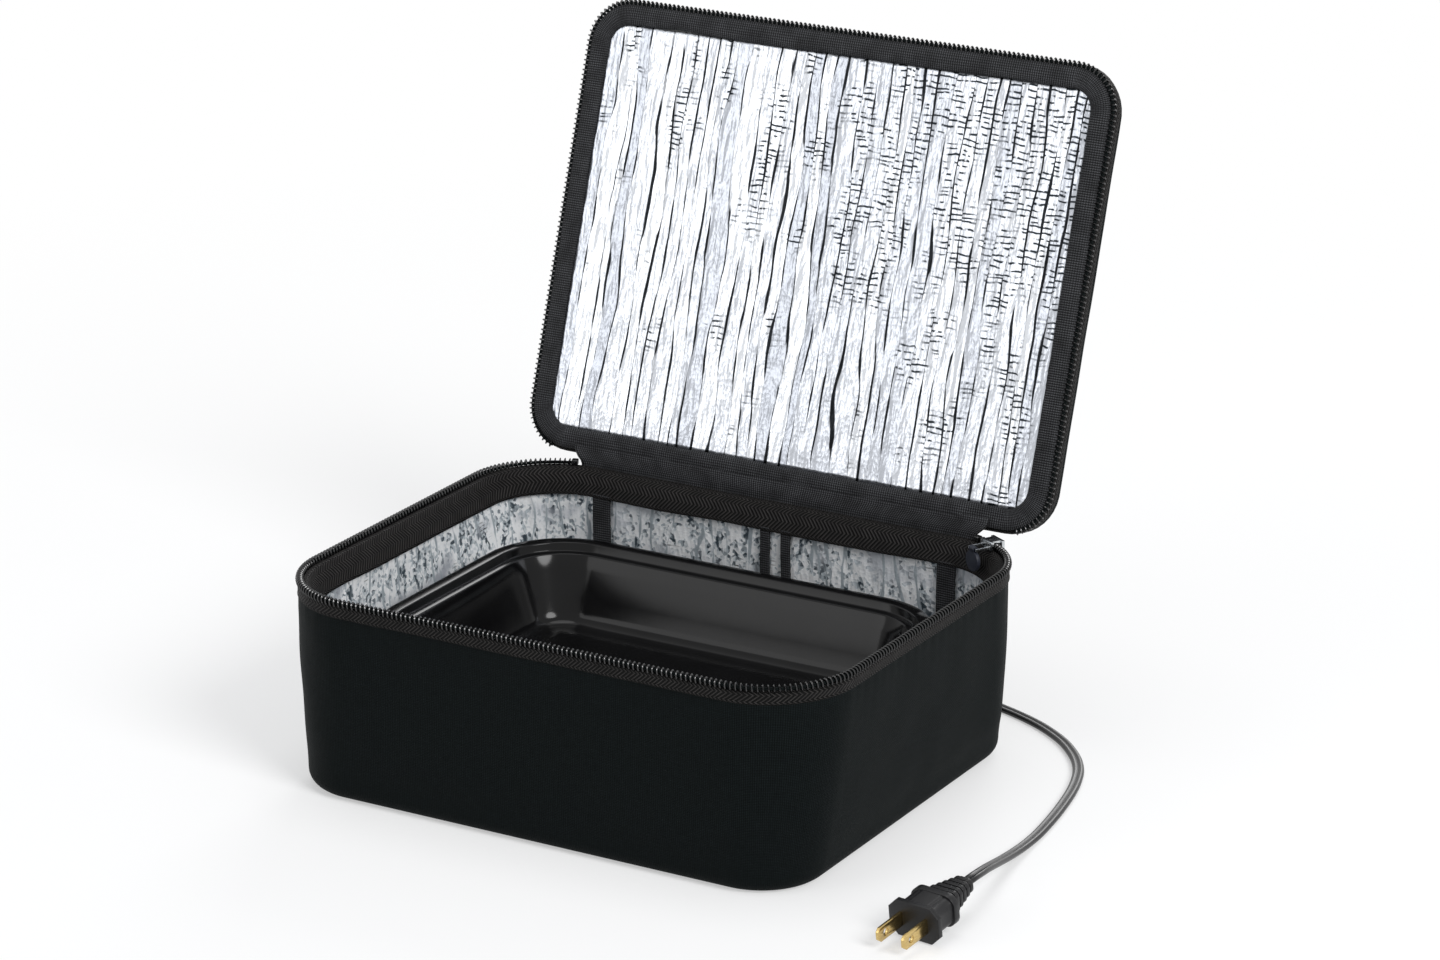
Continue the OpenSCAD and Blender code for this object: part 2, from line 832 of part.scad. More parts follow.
module terminal_block() {
    block_w = 14;
    block_d = 8;
    color("#ded9c8")
        translate([cord_x - block_w / 2, unit_d / 2 - ledge_w - 16, cover_top + 0.1])
            difference() {
                cube([block_w, block_d, 4.6]);
                for (side = [-1, 1])
                    translate([block_w / 2 + side * 3.4, block_d / 2, 2.2])
                        cylinder(h = 4, r = 1.6, $fn = 24);
            }
}

// The two cores between the cord's boot and the terminal block
module lead_wires() {
    start_y = unit_d / 2 - housing_wall - 2.6;
    end_y = unit_d / 2 - ledge_w - 16 + 8;
    color("#2f2f2f")
        for (side = [-1, 1])
            translate([cord_x + side * 1.5, start_y, boot_z - 1])
                rotate([90, 0, 0])
                    cylinder(h = start_y - end_y, r = 1.1, $fn = 20);
}

module foot_pads() {
    inset = foot_len / 2 - 1;
    color("#0e0e0e")
        for (x = [-1, 1], y = [-1, 1])
            translate([x * (unit_w / 2 - inset), y * (unit_d / 2 - inset), unit_z - pad_t])
                cylinder(h = pad_t, r = pad_r);
}

// A moulded boot that grips the housing's wall and holds the cord
module cord_boot() {
    color("#0c0c0c") {
        boot_part(-boot_len, -0.1, 7.6, boot_h);
        boot_part(-0.1, housing_wall + 0.1, 8, boot_h);
        boot_part(housing_wall + 0.1, housing_wall + 2.6, 11, ledge_z - cover_top - 0.4);
    }
}

// A piece of the boot, between two depths into the housing from its rear face
module boot_part(d0, d1, w, h) {
    translate([cord_x, unit_d / 2 - d0, boot_z])
        rotate([90, 0, 0])
            linear_extrude(d1 - d0)
                rounded(w, h, h / 2 - 0.05);
}

// ---------------------------------------------------------------- the container

// The tapered tub, grown inwards by inset
module tub(z0, z1, inset) {
    roll = 3;
    top_w = tray_w - 2 * flange_w;
    top_d = tray_d - 2 * flange_w;
    low_w = tray_w - 2 * tray_taper;
    low_d = tray_d - 2 * tray_taper;
    low_r = tray_r - flange_w - 4;
    loft(concat(
        [for (a = [0 : 30 : 90])
            let (in = inset + roll * (1 - sin(a)))
            outline(low_w - 2 * in, low_d - 2 * in, low_r - in, z0 + roll * (1 - cos(a)))],
        [outline(top_w - 2 * inset, top_d - 2 * inset, tray_r - flange_w - inset, z1)]));
}

module container() {
    ledge_in = 4;
    ledge_drop = 4;
    lip_drop = 3.4;
    shoulder = tray_top - 9;
    color("#111113")
        difference() {
            union() {
                tub(tray_z, tray_top - ledge_drop, ledge_in);
                // The stepped shoulder under the rim
                slab(shoulder, tray_top - shoulder)
                    rounded(tray_w - 2 * flange_w, tray_d - 2 * flange_w, tray_r - flange_w);
                // The flange and its turned-down lip
                slab(tray_top - 1.2, 1.2)
                    rounded(tray_w, tray_d, tray_r);
                slab(tray_top - lip_drop, lip_drop)
                    ring(tray_w, tray_d, tray_r, 0, tray_wall);
            }
            tub(tray_z + tray_wall, tray_top - ledge_drop + cut, ledge_in + tray_wall);
            // The recess that a lid would sit in, above the ledge
            slab(tray_top - ledge_drop, ledge_drop + cut)
                rounded(tray_w - 2 * flange_w - 2 * tray_wall, tray_d - 2 * flange_w - 2 * tray_wall,
                    tray_r - flange_w - tray_wall);
        }
}

// ---------------------------------------------------------------- the cord

function unit(v) = v / norm(v);
function heading(p, i) =
    let (n = len(p) - 1)
    unit(i == 0 ? p[1] - p[0] : i == n ? p[n] - p[n - 1] : p[i + 1] - p[i - 1]);

// A tube with a ring of the section at each point; level says which way its width lies
module swept(p, section, level = [0, 0, 1]) {
    n = len(section);
    rings = [for (i = [0 : len(p) - 1])
        let (t = heading(p, i), s = unit(cross(t, level)), u = cross(s, t))
        [for (q = section) p[i] + q[0] * s + q[1] * u]];
    sides = [for (i = [0 : len(p) - 2], k = [0 : n - 1], h = [0, 1])
        let (a = i * n + k, b = i * n + (k + 1) % n)
        h == 0 ? [a, b, b + n] : [a, b + n, a + n]];
    ends = [for (k = [1 : n - 2], h = [0, 1])
        let (last = (len(p) - 1) * n)
        h == 0 ? [0, k + 1, k] : [last, last + k, last + k + 1]];
    polyhedron([for (r = rings, q = r) q], concat(sides, ends));
}

// A point of the coil, t turns along it: inwards on top, down a layer, outwards on the floor
function ease(x) = let (c = min(max(x, 0), 1)) c * c * (3 - 2 * c);
function coil_r(t) = coil_in_r + coil_rate * max(0, abs(t - coil_turns / 2) - coil_level);
function coil_height(t) = lie_z + coil_lift + coil_rise * ease((coil_turns / 2 - t + 0.15) / 0.3);
function coil_point(t) =
    let (a = coil_from - 360 * t)
    [coil_c[0] + coil_r(t) * cos(a), coil_c[1] + coil_r(t) * sin(a), coil_height(t)];
coil_steps = ceil(coil_turns * coil_rings);
function coil_way(t) = unit(coil_point(t + 0.001) - coil_point(t - 0.001));
// Both ends run on straight for a cord's width
coil_in = coil_point(0) - cord_w * coil_way(0);
coil_out = coil_point(coil_turns) + cord_w * coil_way(coil_turns);
coil_path = concat([coil_in], [for (i = [0 : coil_steps]) coil_point(i / coil_steps * coil_turns)],
    [coil_out]);

// The least gap of the coil to itself: turns at one angle are a width or a thickness apart
coil_gap = min([for (i = [0 : coil_steps], k = [1 : 3])
    let (t = i / coil_steps * coil_turns)
    if (t + k <= coil_turns)
        max(abs(coil_r(t + k) - coil_r(t)) - cord_w,
            abs(coil_height(t + k) - coil_height(t)) - cord_t)]);
echo(least_gap_in_cord_coil = coil_gap);

module cord_to_coil() {
    color("#0e0e0f")
        swept(concat(route_in, [coil_in - straight * coil_way(0), coil_in]), flat_section);
}

module cord_coil() {
    color("#0e0e0f")
        swept(coil_path, coil_section);
}

module cord_to_plug() {
    color("#0e0e0f")
        swept(concat([coil_out, coil_out + straight * coil_way(coil_turns)], route_out,
            [plug_point(plug_len + straight), plug_point(plug_len)]), flat_section);
}

// The short lead that climbs from the outlet to the boot on the heating unit
module inner_lead() {
    y0 = unit_d / 2 + boot_len;
    mid = (y0 + wall_y) / 2;
    color("#0e0e0f")
        swept([[cord_x, y0, boot_z], [cord_x, y0 + 1.6, boot_z], [cord_x, mid - 0.5, boot_z - 0.9],
            [cord_x, mid, boot_z - 2.6], [cord_x, mid, outlet_z + 2.6], [cord_x, mid + 0.5, outlet_z + 0.9],
            [cord_x, wall_y - 1.6, outlet_z], [cord_x, wall_y, outlet_z]],
            flat_section, [0, -1, 0.001]);
}

// A hook-and-loop tie round the coil's turns
module coil_tie() {
    low = coil_in_r - half_w - 0.8;
    high = coil_r(0.5) + half_w + 0.8;
    top = lie_z + coil_lift + coil_rise + half_t + 0.6;
    color("#1b1b1b")
        translate([coil_c[0], coil_c[1] + tie_w / 2, 0])
            rotate([90, 0, 0])
                linear_extrude(tie_w)
                    difference() {
                        translate([(low + high) / 2, (top + tie_t + 0.1) / 2])
                            rounded(high - low + 2 * tie_t, top + tie_t - 0.1, 2);
                        translate([(low + high) / 2, (top + tie_t + 0.1) / 2])
                            rounded(high - low, top - tie_t - 0.1, 1.3);
                    }
}

// ---------------------------------------------------------------- the plug

// The plug's frame: origin in the middle of its face, blades along +Z, width along X
module on_plug() {
    translate(plug_at)
        rotate([0, 0, plug_heading])
            rotate([0, 90 + plug_tilt, 0])
                rotate([0, 0, 90])
                    children();
}

// A point on the plug's axis, d behind its face
function plug_point(d) = plug_at - d * [cos(plug_heading) * cos(plug_tilt),
    sin(plug_heading) * cos(plug_tilt), -sin(plug_tilt)];

module plug_body() {
    clip = 4;
    body_w1 = 20;
    body_h1 = 12.6;
    color("#111112")
        on_plug() {
            // The face plate with clipped corners
            slab(-face_t, face_t)
                polygon([[clip - face_w / 2, -face_h / 2], [face_w / 2 - clip, -face_h / 2],
                    [face_w / 2, clip - face_h / 2], [face_w / 2, face_h / 2 - clip],
                    [face_w / 2 - clip, face_h / 2], [clip - face_w / 2, face_h / 2],
                    [-face_w / 2, face_h / 2 - clip], [-face_w / 2, clip - face_h / 2]]);
            slab(-face_t - body_len, body_len)
                rounded(body_w1, body_h1, 4);
            // Raised grip panels above and below
            slab(-face_t - body_len, body_len - 1.5)
                rounded(11, body_h1 + 1.4, 1.5);
            // The collar that the fingers pull on
            slab(-face_t - body_len - collar_t, collar_t)
                rounded(22, 14.6, 5);
        }
}

// A flat and tapered strain relief with ribs across it
module plug_relief() {
    step = plug_relief_len / plug_relief_ribs;
    start = -face_t - body_len - collar_t;
    color("#101011")
        on_plug() {
            for (i = [0 : plug_relief_ribs - 1]) {
                slab(start - (i + 0.62) * step, 0.62 * step)
                    rounded(16 - 1.3 * i, 11 - 0.9 * i, 2.6);
                slab(start - (i + 1) * step, step)
                    rounded(13.4 - 1.2 * i, 8.6 - 0.7 * i, 2);
            }
            // The sleeve round the cord that all the ribs stand on
            slab(start - plug_relief_len, plug_relief_len)
                rounded(cord_w + 1.6, cord_t + 1.6, 1.4);
        }
}

module plug_blades() {
    chamfer = 1.4;
    color("#d2b26e")
        on_plug()
            for (side = [-1, 1])
                translate([side * blade_pitch / 2 - blade_t / 2, 0, 0])
                    rotate([90, 0, 90])
                        linear_extrude(blade_t)
                            difference() {
                                polygon([[-blade_w / 2, 0], [blade_w / 2, 0],
                                    [blade_w / 2, blade_len - chamfer],
                                    [blade_w / 2 - chamfer, blade_len],
                                    [chamfer - blade_w / 2, blade_len],
                                    [-blade_w / 2, blade_len - chamfer]]);
                                translate([0, blade_len - 5])
                                    circle(1.6, $fn = 24);
                            }
}

outer_shell();
base_board();
insulation_foam();
foil_lining();
rim_band();
rim_zip_tape();
rim_zip_coil();
zip_end_stops();
seam_binding_left();
seam_binding_right();
slit_bindings();
hinge_strip();
cord_outlet();
inner_lead();
lid_outer_panel();
lid_foam();
lid_foil_panel();
lid_binding();
lid_zip_tape();
lid_zip_coil();
carry_handle();
zip_slider();
pull_tab();
heating_plate();
plate_housing();
bottom_cover();
heating_element();
insulation_pad();
thermostat();
thermal_fuse();
terminal_block();
lead_wires();
cover_screws();
foot_pads();
cord_boot();
container();
cord_to_coil();
cord_coil();
coil_tie();
cord_to_plug();
plug_body();
plug_relief();
plug_blades();
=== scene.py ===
from math import ceil, cos, exp, floor, pi, radians, sin, tau

import bpy
from mathutils import Matrix, Vector, noise


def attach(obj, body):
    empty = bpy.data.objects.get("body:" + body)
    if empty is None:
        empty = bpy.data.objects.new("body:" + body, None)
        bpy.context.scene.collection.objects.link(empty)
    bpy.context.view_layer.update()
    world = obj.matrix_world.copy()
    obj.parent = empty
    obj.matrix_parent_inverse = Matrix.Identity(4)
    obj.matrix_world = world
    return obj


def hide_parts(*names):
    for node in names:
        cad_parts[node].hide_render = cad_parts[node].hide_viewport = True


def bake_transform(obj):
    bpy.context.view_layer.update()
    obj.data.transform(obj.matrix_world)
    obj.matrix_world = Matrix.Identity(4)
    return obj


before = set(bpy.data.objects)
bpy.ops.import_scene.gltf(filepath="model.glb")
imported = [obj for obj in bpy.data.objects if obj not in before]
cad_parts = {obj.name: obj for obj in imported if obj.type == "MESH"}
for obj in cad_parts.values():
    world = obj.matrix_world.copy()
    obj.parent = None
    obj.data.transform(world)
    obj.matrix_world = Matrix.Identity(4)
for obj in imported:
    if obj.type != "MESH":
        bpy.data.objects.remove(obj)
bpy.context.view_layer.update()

scene = bpy.context.scene
scene.view_settings.view_transform = "Standard"

# ------------------------ studio and camera
# A pale seamless floor under soft studio light, as in a product photograph. A large lamp from
# the right throws the faint shadow to the left, and weaker ones fill the front and the top.

MM = 0.001


def srgb(code):
    """Linear colour of an sRGB hex value"""
    parts = [int(code[i:i + 2], 16) / 255 for i in (1, 3, 5)]
    return (*[p / 12.92 if p <= 0.04045 else ((p + 0.055) / 1.055) ** 2.4 for p in parts], 1.0)


def add_node(tree, kind, *inputs, **settings):
    """Adds a shader node with its settings and its inputs, in order or, in a dict, by name.
    A node given as an input links its first output"""
    node = tree.nodes.new("ShaderNode" + kind)
    for name, value in settings.items():
        setattr(node, name, value)
    by_name = inputs and isinstance(inputs[0], dict)
    for name, value in (inputs[0].items() if by_name else enumerate(inputs)):
        if isinstance(value, bpy.types.Node):
            value = value.outputs[0]
        if isinstance(value, bpy.types.NodeSocket):
            tree.links.new(value, node.inputs[name])
        else:
            node.inputs[name].default_value = value
    return node


def backdrop_seen(tree):
    """1 on rays that show the backdrop itself, in the picture or in metal"""
    path = add_node(tree, "LightPath").outputs
    direct = add_node(tree, "Math", path["Is Camera Ray"], path["Is Glossy Ray"],
                      operation="MAXIMUM")
    return add_node(tree, "Math", direct, path["Is Transmission Ray"], operation="MAXIMUM")


studio = bpy.data.worlds.new("pale_studio")
scene.world = studio
studio.use_nodes = True
tree = studio.node_tree
tree.nodes.clear()
room_light = add_node(tree, "Background", {"Color": srgb("#f3f6fa"), "Strength": 0.4})
white_paper = add_node(tree, "Background", {"Color": srgb("#ffffff"), "Strength": 1.0})
room = add_node(tree, "MixShader", backdrop_seen(tree), room_light, white_paper)
add_node(tree, "OutputWorld", {"Surface": room})

bpy.ops.object.select_all(action="DESELECT")
bpy.ops.mesh.primitive_plane_add(size=16, location=(0, 0, -0.0002))
floor_sheet = bpy.context.object
floor_sheet.name = "studio_floor"
paper = bpy.data.materials.new("matt_white_paper")
paper.use_nodes = True
tree = paper.node_tree
tree.nodes.clear()
matt = add_node(tree, "BsdfDiffuse", {"Color": srgb("#fcfcfc")})
glow = add_node(tree, "Emission", {"Color": srgb("#ffffff"), "Strength": 1.0})
far_off = add_node(tree, "VectorMath", add_node(tree, "TexCoord").outputs["Object"],
                   operation="LENGTH").outputs["Value"]
whitened = add_node(tree, "MapRange", {"Value": far_off, "From Min": 0.2, "From Max": 1.0,
                                       "To Min": 0.45, "To Max": 1.0})
glow_share = add_node(tree, "Math", backdrop_seen(tree), whitened, operation="MULTIPLY")
add_node(tree, "OutputMaterial", {"Surface": add_node(tree, "MixShader", glow_share, matt, glow)})
floor_sheet.data.materials.append(paper)
bpy.ops.object.transform_apply(location=True)

for lamp_name, spot, size, power in (("key_softbox", (3.3, -1.3, 2.7), 2.0, 125),
                                     ("fill_softbox", (-2.6, -3.4, 1.8), 2.4, 26),
                                     ("top_softbox", (-0.3, 0.4, 3.6), 2.2, 26),
                                     ("back_softbox", (-0.9, 3.8, 2.2), 2.2, 45)):
    bpy.ops.object.light_add(type="AREA", location=spot)
    lamp = bpy.context.object
    lamp.name = lamp_name
    lamp.data.shape = "DISK"
    lamp.data.size = size
    lamp.data.energy = power
    lamp.rotation_euler = (Vector((0, 0, 0.1)) - Vector(spot)).to_track_quat("-Z", "Y").to_euler()

view_turn, view_tilt, view_from = radians(30.1), radians(19.1), 2.233
looked_at = Vector((0.0236, 0.01585, 0.1326))
away = Vector((sin(view_turn) * cos(view_tilt), -cos(view_turn) * cos(view_tilt), sin(view_tilt)))
bpy.ops.object.camera_add(location=looked_at + view_from * away)
camera = bpy.context.object
camera.rotation_euler = (-away).to_track_quat("-Z", "Y").to_euler()
camera.data.lens = 128.44
camera.data.sensor_width = 36
scene.camera = camera

# ------------------------ plug
# A moulded two-blade plug of soft black PVC: a face plate with clipped corners, grip panels, a
# collar and a ribbed strain relief. The blades are stamped brass, set in the moulding.


def new_finish(name, rough, shine=0.5, metal=0.0, sheen=0.0):
    """A material with this roughness, specular level, metal and sheen; with its tree and shader"""
    material = bpy.data.materials.new(name)
    material.use_nodes = True
    tree = material.node_tree
    shader = tree.nodes["Principled BSDF"]
    for socket, value in (("Roughness", rough), ("Specular IOR Level", shine),
                          ("Metallic", metal), ("Sheen Weight", sheen)):
        shader.inputs[socket].default_value = value
    return material, tree, shader


def surface_detail(tree, shader, dark, light, factor, height, depth):
    """Mixes two colours by factor and raises the surface by height, depth mm at most"""
    colour = add_node(tree, "MixRGB", factor, srgb(dark), srgb(light))
    tree.links.new(colour.outputs[0], shader.inputs["Base Color"])
    bump = add_node(tree, "Bump", {"Strength": 1.0, "Distance": depth * MM, "Height": height})
    tree.links.new(bump.outputs[0], shader.inputs["Normal"])


def grained(name, dark, light, grain, depth, **values):
    """A finish with an even grain of the given size in mm, and broad faint clouds over it"""
    material, tree, shader = new_finish(name, **values)
    place = add_node(tree, "TexCoord").outputs["Object"]
    fine = add_node(tree, "TexNoise", {"Vector": place, "Scale": 1 / (grain * MM), "Detail": 2.0})
    broad = add_node(tree, "TexNoise", {"Vector": place, "Scale": 1 / (55.6 * MM), "Detail": 2.0})
    both = add_node(tree, "Math", fine, broad, operation="ADD")
    share = add_node(tree, "MapRange", {"Value": both, "From Min": 0.75, "From Max": 1.25})
    surface_detail(tree, shader, dark, light, share, fine, depth)
    return material


def keep_only_selected(piece):
    bpy.ops.object.select_all(action="DESELECT")
    piece.select_set(True)
    bpy.context.view_layer.objects.active = piece


def apply_modifier(piece, kind, **settings):
    keep_only_selected(piece)
    modifier = piece.modifiers.new(kind.lower(), kind)
    for name, value in settings.items():
        setattr(modifier, name, value)
    bpy.ops.object.modifier_apply(modifier=modifier.name)


def smooth_shaded(piece, angle=35):
    keep_only_selected(piece)
    bpy.ops.object.shade_smooth_by_angle(angle=radians(angle))


def stands_for(piece, body, slot_name, *nodes):
    """Puts a piece in the place of CAD nodes, on their body; slot_name is not used"""
    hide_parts(*nodes)
    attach(piece, body)


def softened(name, node, width, finish, body, slot_name):
    """A copy of a CAD node in its place, merged, with its edges rounded by width in mm"""
    piece = bpy.data.objects.new(name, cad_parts[node].data.copy())
    piece.data.name = name
    scene.collection.objects.link(piece)
    keep_only_selected(piece)
    bpy.ops.mesh.customdata_custom_splitnormals_clear()
    bpy.ops.object.mode_set(mode="EDIT")
    bpy.ops.mesh.select_all(action="SELECT")
    bpy.ops.mesh.remove_doubles(threshold=1e-6)
    bpy.ops.mesh.dissolve_limited(angle_limit=radians(0.8))
    bpy.ops.object.mode_set(mode="OBJECT")
    apply_modifier(piece, "BEVEL", width=width * MM, segments=2, limit_method="ANGLE",
                   angle_limit=radians(30))
    smooth_shaded(piece)
    piece.data.materials.clear()
    piece.data.materials.append(finish)
    stands_for(piece, body, slot_name, node)
    return piece


# Soft PVC, moulded in a lightly spark-eroded tool: satin, with a faint even grain
plug_pvc = grained("moulded_black_pvc", "#0c0c0d", "#1c1c1e", 0.5, 0.02, rough=0.38, shine=0.3)
# Brass sheet, stamped and tumbled: warm, bright, with faint lines along the blade
blade_brass, tree, shader = new_finish("stamped_brass", metal=1.0, rough=0.24)
spot = add_node(tree, "TexCoord").outputs["Object"]
along_blade = add_node(tree, "Mapping", {"Vector": spot, "Scale":
                       (1 / (0.4 * MM), 1 / (5.56 * MM), 1 / (0.4 * MM))})
lines = add_node(tree, "TexNoise", {"Vector": along_blade, "Scale": 1.0, "Detail": 2.0})
surface_detail(tree, shader, "#a98545", "#ecd596", lines, lines, 0.02)

plug_shell = softened("plug_shell", "plug_body", 0.45, plug_pvc, "bag", "plug_plastic")
plug_ribs = softened("plug_ribs", "plug_relief", 0.3, plug_pvc, "bag", "plug_plastic")
plug_pins = softened("plug_pins", "plug_blades", 0.18, blade_brass, "bag", "blade_brass")

# ------------------------ mains cord
# A flat two-core cord in black PVC, with a groove between its cores. The spare length is wound
# into a round coil behind the bag under a hook-and-loop tie, and the rest runs to the plug.

CORD_WIDE, CORD_THICK = 5.2, 2.6
LIE = CORD_THICK / 2 + 0.1
COIL_AT, COIL_INNER, COIL_PITCH, COIL_START, COIL_TURNS = (40, 157), 21.5, 6.9, 160, 4 + 122 / 360


def held(x):
    """x, but at least 0 and at most 1"""
    return min(max(x, 0), 1)


def coil_radius(t):
    return COIL_INNER + COIL_PITCH * max(0, abs(t - COIL_TURNS / 2) - 0.1)


def coil_point(t):
    """A point t turns along the coil: inwards on top, down a layer, outwards on the floor"""
    a = radians(COIL_START - 360 * t)
    on_top = held((COIL_TURNS / 2 - t + 0.15) / 0.3)
    z = LIE + 0.9 + (CORD_THICK + 1) * on_top ** 2 * (3 - 2 * on_top)
    return Vector((COIL_AT[0] + coil_radius(t) * cos(a), COIL_AT[1] + coil_radius(t) * sin(a), z))


def coil_way(t):
    return (coil_point(t + 0.001) - coil_point(t - 0.001)).normalized()


def plug_point(d):
    """A point on the plug's axis, d behind its face"""
    heading, tilt = radians(-98), radians(8)
    return Vector((188.2, -110.8, 8.6)) - d * Vector((cos(heading) * cos(tilt),
                                                      sin(heading) * cos(tilt), -sin(tilt)))


def curve_through(points, step=2.0):
    """Points on a smooth curve through the given ones, about step apart"""
    points = [Vector(p) for p in points]
    ends = [2 * points[0] - points[1], *points, 2 * points[-1] - points[-2]]
    path = [points[0]]
    for a, b, c, d in zip(ends, ends[1:], ends[2:], ends[3:]):
        knots = [0.0]
        for p, q in ((a, b), (b, c), (c, d)):
            knots.append(knots[-1] + (q - p).length ** 0.5)
        pieces = max(1, ceil((c - b).length / step))
        for k in range(1, pieces + 1):
            t = knots[1] + (knots[2] - knots[1]) * k / pieces
            row, low = [a, b, c, d], 1
            for span in (1, 2):
                row = [p + (q - p) * (t - knots[i]) / (knots[i + span] - knots[i])
                       for i, (p, q) in enumerate(zip(row, row[1:]))]
            path.append(row[0] + (row[1] - row[0]) * (t - knots[1]) / (knots[2] - knots[1]))
    return path


def built(name, corners, faces, finish, uvs=None):
    """A piece from corners in mm and faces, with a corner's place on the cloth in mm"""
    mesh = bpy.data.meshes.new(name)
    mesh.from_pydata([Vector(c) * MM for c in corners], [], faces)
    if uvs is not None:
        cloth = mesh.uv_layers.new(name="UVMap")
        for polygon, places in zip(mesh.polygons, uvs):
            for loop, place in zip(polygon.loop_indices, places):
                cloth.data[loop].uv = (place[0] * MM, place[1] * MM)
    piece = bpy.data.objects.new(name, mesh)
    scene.collection.objects.link(piece)
    mesh.materials.append(finish)
    return piece


def face_outwards(piece):
    keep_only_selected(piece)
    bpy.ops.object.mode_set(mode="EDIT")
    bpy.ops.mesh.select_all(action="SELECT")
    bpy.ops.mesh.normals_make_consistent(inside=False)
    bpy.ops.object.mode_set(mode="OBJECT")


def swept(name, path, section, finish, level=(0, 0, 1), angle=40):
    """A bar with this section along a path; level says which way its thickness points"""
    path = [Vector(p) for p in path]
    level, last, n = Vector(level), len(path) - 1, len(section)
    reach = [0.0]
    for p, q in zip(path, path[1:]):
        reach.append(reach[-1] + (q - p).length)
    girth = [0.0]
    for p, q in zip(section, section[1:] + section[:1]):
        girth.append(girth[-1] + (Vector(q) - Vector(p)).length)
    corners = []
    for i, p in enumerate(path):
        way = (path[min(i + 1, last)] - path[max(i - 1, 0)]).normalized()
        side = way.cross(level).normalized()
        up = side.cross(way)
        corners += [p + a * side + b * up for a, b in section]
    faces, uvs = [], []
    for i in range(last):
        for k in range(n):
            m = (k + 1) % n
            faces.append((i * n + k, i * n + m, (i + 1) * n + m, (i + 1) * n + k))
            uvs.append([(reach[i], girth[k]), (reach[i], girth[k + 1]),
                        (reach[i + 1], girth[k + 1]), (reach[i + 1], girth[k])])
    for ring in (range(n - 1, -1, -1), range(last * n, last * n + n)):
        faces.append(tuple(ring))
        uvs.append([(0, 0)] * n)
    piece = built(name, corners, faces, finish, uvs)
    face_outwards(piece)
    smooth_shaded(piece, angle)
    return piece


def flat_section(wide, thick, corner, steps=3):
    """A flat bar's section with round edges"""
    spots = []
    for side_x, side_y, turn in ((1, 1, 0), (-1, 1, 90), (-1, -1, 180), (1, -1, 270)):
        for k in range(steps + 1):
            a = radians(turn + 90 * k / steps)
            spots.append((side_x * (wide / 2 - corner) + corner * cos(a),
                          side_y * (thick / 2 - corner) + corner * sin(a)))
    return spots


lobe = CORD_THICK / 2
two_core_section = [(side * (lobe + lobe * cos(radians(a))), side * lobe * sin(radians(a)))
                    for side in (1, -1) for a in range(-120, 121, 30)]
two_core_section.insert(9, (0, 0.75))
two_core_section.append((0, -0.75))
coil_in = coil_point(0) - CORD_WIDE * coil_way(0)
coil_out = coil_point(COIL_TURNS) + CORD_WIDE * coil_way(COIL_TURNS)
route_in = [(5, 127.8, 14), (5, 131, 14), (4.6, 135.4, 13.4), (3.8, 139.9, 12), (2.8, 144.3, 10.3),
            (2.2, 148.7, 8.6), (2, 153, 7.1), (2.5, 157, 6.3), coil_in - 4 * coil_way(0), coil_in]
route_out = [coil_out, coil_out + 4 * coil_way(COIL_TURNS),
             (77, 168.1, 2.1), (81, 161.6, 1.8), (84.6, 154.7, 1.5), (88.4, 147.6, 1.4),
             (93.4, 140.8, 1.4), (99.8, 135.6, 1.4), (111, 131.2, 1.4), (120, 127.4, 1.4),
             (129, 122.8, 1.4), (138, 117, 1.4), (146.4, 110.4, 1.4), (154, 102.6, 1.4),
             (160.8, 94, 1.4), (166.6, 84, 1.4), (171, 73, 1.4), (174.6, 61, 1.4),
             (177.4, 48.6, 1.4), (179.8, 36, 1.4), (181.8, 23, 1.4), (183.4, 10, 1.5),
             (184.6, -3, 2.2), (186, -16, 3.8), (187.8, -29, 6.2), (189.8, -41.5, 9),
             (191.8, -53, 11.7), (193.2, -62, 13.4), plug_point(40.8), plug_point(36.8)]
coil_steps = ceil(COIL_TURNS * 72)
cord_path = (curve_through(route_in)
             + [coil_point(COIL_TURNS * k / coil_steps) for k in range(coil_steps + 1)]
             + curve_through(route_out))

# PVC extruded over the cores: smooth and satin, a little duller where it has been handled
cord_pvc = grained("extruded_black_pvc", "#0d0d0e", "#1a1a1c", 1.2, 0.008, rough=0.3, shine=0.35)
mains_cord = swept("mains_cord", cord_path, two_core_section, cord_pvc)
stands_for(mains_cord, "bag", "cord_jacket", "cord_to_coil", "cord_coil", "cord_to_plug")

# ------------------------ coil tie
# A band of black hook-and-loop tape round one side of the coil, closed on itself, with a
# fuzzy loop side outwards.

loop_tape = grained("black_loop_tape", "#101011", "#2b2b2d", 0.6, 0.12, rough=0.9, sheen=0.1, shine=0.05)
tie_low, tie_high, tie_round = COIL_INNER - 3.75, coil_radius(0.5) + 3.75, 2.2
tie_under, tie_top = 0.5, LIE + 6.75
tie_path = [(COIL_AT[0] + (tie_low + tie_high) / 2 + out, COIL_AT[1], (tie_under + tie_top) / 2 + up)
            for out, up in flat_section(tie_high - tie_low, tie_top - tie_under, tie_round, 4)]
tie_path.append(tie_path[0])
coil_band = swept("coil_band", tie_path, flat_section(0.7, 6, 0.3), loop_tape, level=(0, 1, 0.001))
stands_for(coil_band, "bag", "webbing", "coil_tie")

# ------------------------ bag, outer fabric
# The outside of the bag: black polyester woven plain from fine textured yarn, cut in one band
# and a base and sewn inside out, so that it swells a little over the foam and rolls in below.


def lap(w, d, r):
    """Lengths of the stretches of a round-cornered outline, from the middle of its back"""
    across, deep, bend = w - 2 * r, d - 2 * r, r * pi / 2
    return [across / 2, bend, deep, bend, across, bend, deep, bend, across / 2]


